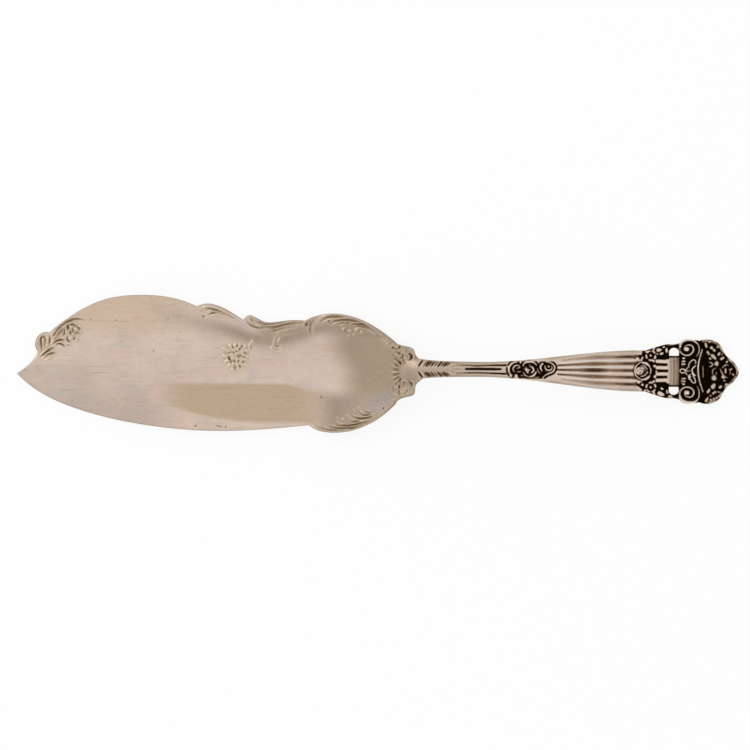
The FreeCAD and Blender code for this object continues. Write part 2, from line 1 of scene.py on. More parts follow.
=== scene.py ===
# %% [markdown]
# # A struck silver jelly knife
# This scene dresses a jelly knife: a broad dished blade, an arched stem and a fluted
# column with a scrolled capital.  The whole knife is one piece of silver, so it becomes
# one closed mesh.  First the measured frame is loaded; it gives the knife's true size.

# %% Load the frame
import bpy
import json
import math
import numpy as np
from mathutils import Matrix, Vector, kdtree
from mathutils.geometry import delaunay_2d_cdt

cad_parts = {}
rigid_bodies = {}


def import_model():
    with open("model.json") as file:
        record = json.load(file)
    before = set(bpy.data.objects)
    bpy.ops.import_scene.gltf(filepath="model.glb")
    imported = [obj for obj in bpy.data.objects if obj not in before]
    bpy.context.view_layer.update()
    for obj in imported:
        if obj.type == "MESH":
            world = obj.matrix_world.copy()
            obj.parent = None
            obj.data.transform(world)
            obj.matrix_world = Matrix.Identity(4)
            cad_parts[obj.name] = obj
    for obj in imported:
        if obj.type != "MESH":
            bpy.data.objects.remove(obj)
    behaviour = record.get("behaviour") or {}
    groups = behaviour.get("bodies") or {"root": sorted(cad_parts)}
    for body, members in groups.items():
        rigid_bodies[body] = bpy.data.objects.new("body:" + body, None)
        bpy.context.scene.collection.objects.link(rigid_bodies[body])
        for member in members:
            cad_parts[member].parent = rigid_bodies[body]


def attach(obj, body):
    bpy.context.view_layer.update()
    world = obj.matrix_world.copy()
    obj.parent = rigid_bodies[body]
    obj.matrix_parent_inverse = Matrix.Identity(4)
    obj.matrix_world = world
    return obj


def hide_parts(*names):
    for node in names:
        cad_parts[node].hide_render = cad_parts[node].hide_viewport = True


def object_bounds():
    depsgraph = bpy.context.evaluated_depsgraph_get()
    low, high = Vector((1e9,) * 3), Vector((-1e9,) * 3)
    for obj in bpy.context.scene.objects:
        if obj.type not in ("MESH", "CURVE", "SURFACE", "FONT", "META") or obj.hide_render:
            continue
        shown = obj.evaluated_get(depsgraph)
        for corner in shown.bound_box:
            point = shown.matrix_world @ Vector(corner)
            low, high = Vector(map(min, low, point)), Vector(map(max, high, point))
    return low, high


for thing in list(bpy.data.objects):
    bpy.data.objects.remove(thing)
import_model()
frame_low, frame_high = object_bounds()
mm_per_metre = 1000
print("frame box in mm:", [round(mm_per_metre * c, 1) for c in (*frame_low, *frame_high)])

# %% [markdown]
# ## The knife's sizes
# All sizes are millimetres in the frame's own axes: X runs from blade to handle, Y to the
# back of the blade, Z up.  They are the sizes that the solid was built from, so the
# dressed knife lies exactly over it.  Stations along the handle follow from the lengths.

# %% Sizes and stations
blade_length, heel_x = 116.2, 52.6
back_breadth, edge_breadth = 20.8, 18.8
blade_thickness, heel_thickness, end_thickness = 1.3, 2.0, 2.1
stem_half_width, heel_flare, stem_thickness = 2.16, 0.95, 3.1
column_half_width, column_thickness, neck_half_width = 5.95, 2.9, 4.5
arch_start_x, arch_top_x, arch_height, belly_rub = 22.0, 77.0, 10.5, 0.06
volute_radius, volute_offset = 3.05, 6.35
crown_half_width = 9.25
stem_length, knot_length, column_length, garland_length = 25.9, 13.9, 33.1, 7.8
neck_length, capital_length, crown_length = 3.6, 6.2, 11.3
back_rise, edge_rise, bowl_rise = 3.2, 1.5, 1.3

tip_x = heel_x - blade_length
knot_x = heel_x + stem_length
column_x = knot_x + knot_length
neck_x = column_x + column_length
garland_x = neck_x - garland_length
capital_x = neck_x + neck_length
crown_x = capital_x + capital_length
end_x = crown_x + crown_length
eye_x = capital_x + 2.35
shaft_start_x = heel_x - 6.5
shaft_end_x = crown_x - 0.8
print("tip at", round(tip_x, 1), "and end at", round(end_x, 1))

# %% [markdown]
# ## The plain form
# Struck flatware is a sheet whose top and underside are two smooth heights above the
# table.  Writing each height as a formula of the plan keeps every form exact: a flat
# belly, a turned-up back, a rising heel, an arch, and an oval shaft laid over it.
# Sculpting or lofting would work too, but a formula can be sampled at any fineness,
# which the carving needs later.

# %% Heights of the sheet metal
def smooth(t):
    """0 to 1, level at both ends."""
    t = np.clip(t, 0.0, 1.0)
    return t * t * (3 - 2 * t)


def mix(a, b, share):
    return a + (b - a) * share


def underside(x):
    climb = smooth((x - arch_start_x) / (arch_top_x - arch_start_x))
    fall = np.maximum(0.0, (x - arch_top_x) / (end_x - arch_top_x))
    return arch_height * (climb - fall ** 2) - belly_rub


def blade_under(x, y):
    """Flat along the belly, turned up at the back and the edge, with a bowl near the heel."""
    fold = 8.4 + 6.0 * smooth(-x / 30)
    back = np.maximum(0.0, (y - fold) / 9.0)
    edge = np.maximum(0.0, (-y - 4.2) / 14.0)
    fade = smooth((x - tip_x - 12) / 35)
    bowl = bowl_rise * smooth((x - 14) / 15)
    return underside(x) + (back_rise * fade + bowl) * back ** 2 + (edge_rise * fade + bowl) * edge ** 2


def blade_top(x, y):
    return blade_under(x, y) + mix(blade_thickness, heel_thickness, smooth((x - heel_x + 25) / 20))


print("the blade is", round(float(blade_top(-20, 0) - blade_under(-20, 0)), 1), "mm thick in its middle")

# %% Heights of the shaft
def half_width(x):
    stem = stem_half_width + heel_flare * np.exp((heel_x - x) / 5)
    widen = smooth((x - knot_x + 7.3) / (garland_x - knot_x + 7.3))
    shaft = mix(stem, column_half_width, widen)
    return mix(shaft, neck_half_width, smooth((x - garland_x) / garland_length))


def shaft_under(x):
    start = smooth((x - shaft_start_x) / 7)
    return underside(x) + mix(0.4, -0.15, start) + 0.45 * smooth((x - neck_x) / neck_length)


def shaft_thickness(x):
    stem = mix(1.2, stem_thickness, smooth((x - shaft_start_x) / 7))
    column = mix(stem, column_thickness, smooth((x - knot_x) / knot_length))
    return column - 0.3 * smooth((x - neck_x) / neck_length)


def oval(share):
    """Height of the shaft's section, from 1 on its axis down to near 0 at its side."""
    share = np.minimum(share, 0.985)
    top = 1 - 0.29 * (share / 0.82) ** 2
    side = 0.71 * np.sqrt(np.maximum(0.0, 1 - (np.maximum(0.0, share - 0.82) / 0.18) ** 2))
    return np.where(share > 0.82, side, top)


def shaft_surface(x, y, side):
    """The shaft's top for side 1 and its underside for side -1."""
    depth = shaft_thickness(x) / 2
    return shaft_under(x) + depth * (1 + side * oval(np.abs(y) / half_width(x)))


print("top of the arch:", round(float(underside(arch_top_x) + stem_thickness), 1), "mm")

# %% [markdown]
# ## The outline
# Seen from above, the blade's edge is a row of smooth curves that meet in cusps, as the
# scrolls break it.  Each curve passes through a few points, given as shares of the
# blade's length and breadth in percent.  The handle is simpler: at each station it is
# as wide as the widest of the shaft, the wings beside the neck, the volutes and the crown.

# %% A smooth curve through points
def smooth_curve(points, step=0.2):
    """Points along a smooth curve, evenly spaced by about one step."""
    points = np.array(points, float)
    chords = np.hypot(*np.diff(points, axis=0).T)
    at = np.concatenate([[0.0], np.cumsum(chords)])
    n = len(points)
    if n == 2:
        fine = np.linspace(0, at[-1], max(2, int(at[-1] / step) + 1))
        return np.stack([np.interp(fine, at, points[:, k]) for k in (0, 1)], 1)
    reach = min(4, n)
    ends = []
    for part, where in ((slice(0, reach), at[0]), (slice(n - reach, n), at[-1])):
        fit = [np.polyfit(at[part], points[part, k], reach - 1) for k in (0, 1)]
        ends.append([np.polyval(np.polyder(f), where) for f in fit])
    system = np.eye(n)
    slopes = np.zeros((n, 2))
    slopes[0], slopes[-1] = ends
    for i in range(1, n - 1):
        a, b = chords[i - 1], chords[i]
        system[i, i - 1:i + 2] = b, 2 * (a + b), a
        slopes[i] = 3 * (b / a * (points[i] - points[i - 1]) + a / b * (points[i + 1] - points[i]))
    slopes = np.linalg.solve(system, slopes)
    dense = np.linspace(0, at[-1], 40 * n)
    low = np.clip(np.searchsorted(at, dense, "right") - 1, 0, n - 2)
    h = chords[low][:, None]
    t = ((dense - at[low]) / chords[low])[:, None]
    curve = (
        (2 * t ** 3 - 3 * t ** 2 + 1) * points[low] + (t ** 3 - 2 * t ** 2 + t) * h * slopes[low]
        + (3 * t ** 2 - 2 * t ** 3) * points[low + 1] + (t ** 3 - t ** 2) * h * slopes[low + 1]
    )
    return evenly(curve, step)


def evenly(curve, step):
    """The same line with its points evenly spaced."""
    run = np.concatenate([[0.0], np.cumsum(np.hypot(*np.diff(curve, axis=0).T))])
    fine = np.linspace(0, run[-1], max(2, int(round(run[-1] / step)) + 1))
    return np.stack([np.interp(fine, run, curve[:, k]) for k in (0, 1)], 1)


print("points of a small test curve:", len(smooth_curve([(0, 0), (1, 1), (2, 0)])))

# %% The blade's two sides
back_side = [
    [(0.0, -12.7), (2.5, -1.4), (4.8, 14.2), (5.2, 19.4)],
    [(5.2, 19.4), (4.5, 31.2), (5.5, 42.8), (8.0, 46.1)],
    [(8.0, 46.1), (12.9, 67.7), (21.8, 93.1), (30.8, 99.9), (39.8, 95.0), (45.0, 84.6)],
    [(45.0, 84.6), (47.6, 88.5), (51.8, 82.4), (56.7, 66.3)],
    [(56.7, 66.3), (58.0, 72.7), (61.4, 65.2), (66.4, 65.1), (72.1, 65.9)],
    [(72.1, 65.9), (75.8, 74.0), (79.6, 76.1), (83.4, 73.1), (87.9, 63.5), (95.1, 35.8)],
    [(95.1, 35.8), (97.7, 31.1), (99.4, 26.6), (99.8, 20.1), (100.9, 13.8), (102.5, 9.1)],
]
edge_side = [
    [(102.5, -10.1), (100.7, -20.2), (100.0, -25.0), (99.6, -38.8), (97.8, -43.5), (95.0, -54.4)],
    [(95.0, -54.4), (89.6, -81.9), (82.6, -98.4), (79.4, -99.9), (76.4, -97.9), (73.3, -88.7)],
    [
        (73.3, -88.7), (62.6, -95.5), (52.1, -98.9), (31.1, -89.7), (14.6, -65.7), (4.0, -34.3),
        (0.0, -12.7),
    ],
]


def on_blade(points):
    """Shares of the blade, in percent, as millimetres."""
    breadth = {True: back_breadth, False: edge_breadth}
    return [(tip_x + u * blade_length / 100, v * breadth[v > 0] / 100) for u, v in points]


def joined(curves):
    return np.concatenate([smooth_curve(on_blade(c)) for c in curves])


print("curves of the back and the edge:", len(back_side), len(edge_side))

# %% The handle's width
wing = smooth_curve([
    (garland_x - 2.0, 4.76), (garland_x + 1.2, 5.95), (neck_x - 3.2, 7.05), (neck_x + 0.4, 7.87),
    (neck_x + 2.2, 7.9), (capital_x + 1.0, volute_offset + 2.2), (crown_x - 0.5, crown_half_width - 0.35),
], 0.05)
nose = smooth_curve([
    (crown_x - 0.5, crown_half_width - 0.35), (crown_x + 2.83, crown_half_width),
    (crown_x + 5.42, crown_half_width * 0.865), (crown_x + 7.35, crown_half_width * 0.53),
    (crown_x + 9.49, crown_half_width * 0.33), (end_x, 0.0),
], 0.05)


def plate_half_width(x):
    """Half the width of the carved end plate, 0 where there is none."""
    line = np.concatenate([wing, nose[1:]])
    return np.interp(x, line[:, 0], line[:, 1], left=0.0, right=0.0)


def handle_half_width(x):
    shaft = np.where(x < shaft_end_x, half_width(x), 0.0)
    disc = volute_offset + np.sqrt(np.maximum(0.0, volute_radius ** 2 - (x - eye_x) ** 2))
    disc = np.where(np.abs(x - eye_x) < volute_radius, disc, 0.0)
    return np.maximum(np.maximum(shaft, disc), plate_half_width(x))


back_line, edge_line = joined(back_side), joined(edge_side)
back_stop = np.argmax((back_line[:, 0] > heel_x) & (back_line[:, 1] < half_width(back_line[:, 0])))
edge_start = len(edge_line) - np.argmax(
    ((edge_line[:, 0] > heel_x) & (-edge_line[:, 1] < half_width(edge_line[:, 0])))[::-1])
back_line, edge_line = back_line[:back_stop], edge_line[edge_start:]
stations = np.linspace(0, 1, 6000)
upper_x = mix(back_line[-1, 0] + 0.1, end_x, stations)
lower_x = mix(edge_line[0, 0] + 0.1, end_x, stations)
upper = np.stack([upper_x, handle_half_width(upper_x)], 1)
lower = np.stack([lower_x, -handle_half_width(lower_x)], 1)[::-1]
outline = evenly(np.concatenate([back_line, upper, lower[1:], edge_line]), 0.2)[:-1]
print("outline:", len(outline), "points")

# %% The two piercings beside the neck
def piercing(side):
    """Flat towards the neck and round outside."""
    inner, spring, outer = neck_half_width + 0.02, neck_half_width + 1.04, neck_half_width + 2.3
    start, length = neck_x + 0.4, 2.9
    turns = np.radians(np.arange(180, -1, -12))
    arch = [(start + length / 2 * (1 + math.cos(t)), spring + (outer - spring) * math.sin(t)) for t in turns]
    loop = evenly(np.array(arch + [(start + length, inner), (start, inner), arch[0]]), 0.2)[:-1]
    loop[:, 1] *= side
    return loop


holes = [piercing(1), piercing(-1)]
print("points round each piercing:", [len(loop) for loop in holes])

# %% [markdown]
# ## Where the carving lies
# A struck pattern is fine detail on a large plain surface.  One even mesh would waste
# its triangles on the plain blade, so the fineness follows bands: a band is a line over
# the knife, a half width, and the spacing of the points inside it.  Outside the bands
# the spacing grows gently.

# %% Bands of fine mesh
bands = [
    ([(-39.6, -7.2), (-30.6, -13.8)], 1.3, 0.24),
    ([(-15.2, -0.2), (-11.4, 4.2)], 1.2, 0.24),
    ([(-15.0, -0.2), (-10.2, -4.8)], 0.5, 0.24),
    ([(-58.3, 4.5), (-53.8, 4.6), (-49.0, 8.0), (-44.5, 11.6)], 3.6, 0.18),
    ([(-10.5, 16.5), (-4.5, 16.0), (2.5, 13.0), (8.0, 12.2), (19.5, 12.5), (24.0, 13.6)], 2.5, 0.18),
    ([(21.0, 11.0), (27.5, 13.4), (34.0, 12.4), (41.0, 9.3)], 3.0, 0.18),
    ([(23.0, -16.6), (29.0, -16.6), (36.0, -14.6), (42.5, -11.5)], 2.8, 0.18),
    ([(-2.0, 3.3), (3.5, 3.7)], 3.8, 0.18),
    ([(11.4, 4.8), (12.3, 7.2), (14.4, 10.0)], 1.2, 0.18),
    ([(-11.7, -17.8), (-1.6, -17.2)], 1.2, 0.22),
    ([(48.2, 3.8), (48.4, -5.2)], 3.9, 0.16),
    ([(heel_x + 1, 0), (knot_x, 0)], 2.6, 0.18),
    ([(knot_x, 0), (column_x, 0)], 3.0, 0.15),
    ([(column_x, 0), (garland_x - 3, 0)], 5.0, 0.24),
    ([(garland_x - 2, 0), (neck_x - 2, 0)], 6.5, 0.145),
    ([(neck_x - 2, 0), (end_x - 6, 0)], 9.0, 0.14),
    ([(end_x - 6, 0), (end_x, 0)], 5.0, 0.14),
]
pocks = [
    (-57.2, -1.5), (-44.3, -5.8), (-40.1, -2.6), (-16.8, 8.1), (-10.3, -1.0), (11.1, 1.1), (22.5, -11.7),
    (-24.0, 12.8), (-4.6, -14.8), (3.4, -12.9),
]
bands += [([(px - 0.2, py), (px + 0.2, py)], 0.4, 0.24) for px, py in pocks]
bands = [(np.array(line, float), reach, fine) for line, reach, fine in bands]
spacing_growth, widest_spacing = 0.5, 1.5
print("bands of fine mesh:", len(bands))


far_away = 1e9


def distance_to_line(x, y, line):
    """Distance in the plan from points to a line of several runs."""
    best = np.full(len(x), far_away)
    for (ax, ay), (bx, by) in zip(line[:-1], line[1:]):
        dx, dy = bx - ax, by - ay
        t = np.clip(((x - ax) * dx + (y - ay) * dy) / (dx * dx + dy * dy), 0, 1)
        best = np.minimum(best, np.hypot(x - ax - t * dx, y - ay - t * dy))
    return best


def spacing(x, y):
    wanted = np.full(len(x), widest_spacing)
    for line, reach, fine in bands:
        beyond = np.maximum(0, distance_to_line(x, y, line) - reach)
        wanted = np.minimum(wanted, fine + spacing_growth * beyond)
    return wanted


# %% Rows of points inside the outline
outline_tree = kdtree.KDTree(len(outline) + sum(map(len, holes)))
rim_points = np.concatenate([outline] + holes)
for i, (x, y) in enumerate(rim_points):
    outline_tree.insert((x, y, 0), i)
outline_tree.balance()
print("points of the outline and the piercings:", len(rim_points))


def distance_to_rim(points):
    """Distance to the outline or a piercing, and which of its points is nearest."""
    found = [outline_tree.find((x, y, 0)) for x, y in points]
    return np.array([f[2] for f in found]), np.array([f[1] for f in found])


def inside(points, loop):
    """Counts how often a line to the right of each point crosses the loop."""
    found = np.zeros(len(points), bool)
    px, py = points.T
    for (ax, ay), (bx, by) in zip(loop, np.roll(loop, -1, 0)):
        if ay != by:
            crosses = (ay > py) != (by > py)
            found ^= crosses & (px < (bx - ax) * (py - ay) / (by - ay) + ax)
    return found


plan_low, plan_high = -20, 22
row_step = 0.866
clear_of_rim = 0.42


def hexagonal(x0, x1, y0, y1, size):
    """A staggered grid, the same one wherever it is asked for."""
    rows = np.arange(math.floor(y0 / size / row_step), math.ceil(y1 / size / row_step) + 1)
    columns = np.arange(math.floor(x0 / size), math.ceil(x1 / size) + 1)
    j, i = np.meshgrid(rows, columns)
    return np.stack([(i + 0.5 * (j % 2)).ravel() * size, j.ravel() * row_step * size], 1)


def inner_points():
    """Points of the top, from the finest spacing to the widest."""
    kept = []
    sizes = [0.14, 0.145, 0.15, 0.16, 0.18, 0.22, 0.24, 0.32, 0.45, 0.7, 1.05, 1.5, 99]
    for size, larger in zip(sizes[:-1], sizes[1:]):
        for line, reach, fine in bands:
            if fine >= larger:
                continue
            margin = reach + (min(larger, widest_spacing) - fine) / spacing_growth + size
            low, high = line.min(0) - margin, line.max(0) + margin
            grid = hexagonal(low[0], high[0], low[1], high[1], size)
            wanted = spacing(grid[:, 0], grid[:, 1])
            kept.append(grid[(wanted >= size) & (wanted < larger)])
        if size >= widest_spacing:
            kept.append(hexagonal(tip_x, end_x, plan_low, plan_high, size))
            kept[-1] = kept[-1][spacing(*kept[-1].T) >= size]
    points = np.concatenate(kept)
    points = points[np.unique(np.round(points, 4), axis=0, return_index=True)[1]]
    points = points[inside(points, outline)]
    gap = distance_to_rim(points)[0]
    return points[gap > clear_of_rim + 0.5 * np.minimum(0.5, spacing(*points.T))]


def rows_along(loop, depths):
    """Rows that follow the outline inwards, so that its edge can be rounded."""
    tangent = np.roll(loop, -1, 0) - np.roll(loop, 1, 0)
    inward = np.stack([tangent[:, 1], -tangent[:, 0]], 1) / np.hypot(*tangent.T)[:, None]
    rows = []
    for depth in depths:
        row = loop + inward * depth
        rows.append(row[distance_to_rim(row)[0] > 0.93 * depth])
    return np.concatenate(rows)


# %% Triangles for the top and the underside
def triangles(inner):
    """Triangulates the plan between the outline and the piercings."""
    loops, start = [], 0
    for loop in [outline] + holes:
        loops += [(start + i, start + (i + 1) % len(loop)) for i in range(len(loop))]
        start += len(loop)
    plan = [Vector(p) for p in np.concatenate([rim_points, inner])]
    points, _, faces, *_ = delaunay_2d_cdt(plan, loops, [], 1, 1e-5, False)
    points = np.array(points)
    faces = np.array([f for f in faces if len(f) == 3])
    middle = points[faces].mean(1)
    in_hole = inside(middle, holes[0]) | inside(middle, holes[1])
    faces = faces[~in_hole & inside(middle, outline)]
    return points, faces


rounding_rows = [0.1, 0.25, 0.44]
top_plan, top_faces = triangles(np.concatenate([rows_along(outline, rounding_rows), inner_points()]))
print("top:", len(top_plan), "points,", len(top_faces), "triangles")

# %% [markdown]
# ## The plain surface, sampled
# Each point of the plan gets a height from the formulas.  Where two forms meet, such as
# shaft and blade, the higher one wins through a soft maximum, which leaves the small
# fillet that a struck piece has.  Where a form is absent it gets a height that never
# wins.  The rim is rounded by its distance to the outline.

# %% Sampling the plain surface
below_all, above_all = -5.0, 50.0
rim_drop, rim_reach = 0.42, 0.45


def soft_max(a, b, radius=0.3):
    """The higher of two heights, with a small fillet where they meet."""
    share = np.clip(0.5 + 0.5 * (a - b) / radius, 0, 1)
    return mix(b, a, share) + radius * share * (1 - share)


def plain_top(x, y):
    blade = np.where(x < heel_x + 3.2, blade_top(x, y), below_all)
    on_shaft = (x > shaft_start_x) & (x < shaft_end_x + 0.6) & (np.abs(y) < half_width(x) + 0.4)
    shaft = np.where(on_shaft, shaft_surface(x, y, 1), below_all)
    end = underside(x) + end_thickness
    disc = np.hypot(x - eye_x, np.abs(y) - volute_offset)
    end = end + 0.5 * smooth((volute_radius - disc) / 0.35)
    end = end + 0.25 * smooth((x - crown_x + 1.2) / 1.5) * smooth((end_x - x) / 6)
    end = np.where(x > garland_x - 2.2, end, below_all)
    return soft_max(soft_max(blade, shaft), end, 0.2)


def plain_under(x, y):
    blade = np.where(x < heel_x + 3.2, blade_under(x, y), above_all)
    on_shaft = (x > shaft_start_x) & (x < shaft_end_x) & (np.abs(y) < half_width(x) + 0.4)
    shaft = np.where(on_shaft, shaft_surface(x, y, -1), above_all)
    end = np.where(x > garland_x - 2.2, underside(x), above_all)
    return np.maximum(0.0, np.minimum(np.minimum(blade, shaft), end))


def rim_rounding(x, gap):
    """How much a surface gives way near the rim; the shaft is round by itself."""
    flat_metal = np.where((x < heel_x + 2.2) | (x > garland_x - 1.5), 1.0, 0.0)
    turn = np.clip(gap / rim_reach, 0, 1)
    return flat_metal * rim_drop * (1 - np.sqrt(1 - (1 - turn) ** 2))


x, y = top_plan.T
rim_gap = distance_to_rim(top_plan)[0]
top_height = plain_top(x, y) - rim_rounding(x, rim_gap)
print("plain top from", round(top_height.min(), 2), "to", round(top_height.max(), 2), "mm")

# %% [markdown]
# ## Tools for carving
# The die cutter had punches: a line, a domed petal, a ball.  Each tool here adds its
# shape to the points near it and leaves the rest alone.  Raised work keeps the highest
# of what overlaps, sunk ground and cuts keep the lowest, so the order never matters.
# Two more arrays say where the black sulphide is: in the sunk ground, and as a stain in
# a single cut.

# %% The tools
raised = np.zeros(len(top_plan))
sunk = np.zeros(len(top_plan))
black = np.zeros(len(top_plan))
stained = np.zeros(len(top_plan))
print("points that can be carved:", len(top_plan))


def near(low, high, margin):
    """Which points lie in a box or close to it, so that a tool need not look at all."""
    return np.nonzero(((top_plan > low - margin) & (top_plan < high + margin)).all(1))[0]


def work(at, rise):
    """Keeps raised work in one array and cuts in the other."""
    raised[at] = np.maximum(raised[at], rise)
    sunk[at] = np.minimum(sunk[at], rise)


def line(points, width, height, start=0.35, end=0.35, crest=1.0, stain=0.0):
    """A ridge, or a cut where the height is negative, which tapers to its ends."""
    points = np.array(points, float)
    path = smooth_curve(points, 0.3)
    at = near(path.min(0), path.max(0), width)
    if not len(at):
        return
    px, py = top_plan[at].T
    gap, share = np.full(len(at), far_away), np.zeros(len(at))
    for i, ((ax, ay), (bx, by)) in enumerate(zip(path[:-1], path[1:])):
        dx, dy = bx - ax, by - ay
        t = np.clip(((px - ax) * dx + (py - ay) * dy) / (dx * dx + dy * dy), 0, 1)
        d = np.hypot(px - ax - t * dx, py - ay - t * dy)
        closer = d < gap
        gap[closer], share[closer] = d[closer], ((i + t) / (len(path) - 1))[closer]
    taper = mix(start, 1, smooth(share / 0.4)) * mix(end, 1, smooth((1 - share) / 0.4))
    reach = 0.5 * width * taper
    section = np.clip(1 - (gap / reach) ** 2, 0, 1)
    work(at, height * taper ** 0.5 * section ** crest)
    stained[at] = np.maximum(stained[at], stain * section ** 0.5)


def leaf(cx, cy, turn, length, width, height, vein=0.0, point=0.3):
    """A domed petal, narrower towards its point, with or without a vein."""
    at = near(np.array([cx, cy]), np.array([cx, cy]), length)
    dx, dy = top_plan[at, 0] - cx, top_plan[at, 1] - cy
    c, s = math.cos(math.radians(turn)), math.sin(math.radians(turn))
    along, across = (dx * c + dy * s) * 2 / length, (dy * c - dx * s) * 2 / width
    across = across / np.clip(1 - point * along, 0.2, 2)
    dome = np.clip(1 - along ** 2 - across ** 2, 0, 1) ** 0.6
    dome = dome - vein * np.exp(-(across * width / 0.3) ** 2) * dome
    work(at, height * dome)


def ball(cx, cy, radius, height):
    leaf(cx, cy, 0, 2 * radius, 2 * radius, height, 0, 0)


def rosette(cx, cy, radius, petals, height, turn, centre, cup):
    """A ring of cupped petals round a ball."""
    at = near(np.array([cx, cy]), np.array([cx, cy]), radius)
    dx, dy = top_plan[at, 0] - cx, top_plan[at, 1] - cy
    r, angle = np.hypot(dx, dy) / radius, np.arctan2(dy, dx) - math.radians(turn)
    swing = np.abs(((angle * petals / (2 * math.pi)) % 1) - 0.5) * 2
    edge = 1 - 0.16 * swing ** 2
    body = np.clip(1 - (r / edge) ** 4, 0, 1) * (1 - 0.75 * smooth((swing - 0.62) / 0.3))
    body = body * (1 - cup * np.exp(-((r - 0.4) / 0.26) ** 4))
    work(at, height * body)
    ball(cx, cy, centre * radius, height * 1.15)


# %% [markdown]
# ## Ornament of the blade
# A hooked tip with leaves, two scrolls that break the back, leafy scrolls on both lobes
# of the heel, a small spray in the middle and a shell where the stem lands.  A ridge is
# a row of points in millimetres with a width and a height.  A cut has points, a width and
# how black it is; the blacker, the deeper.  Narrow cuts run beside the main ridges,
# because a chaser sharpens them from outside.

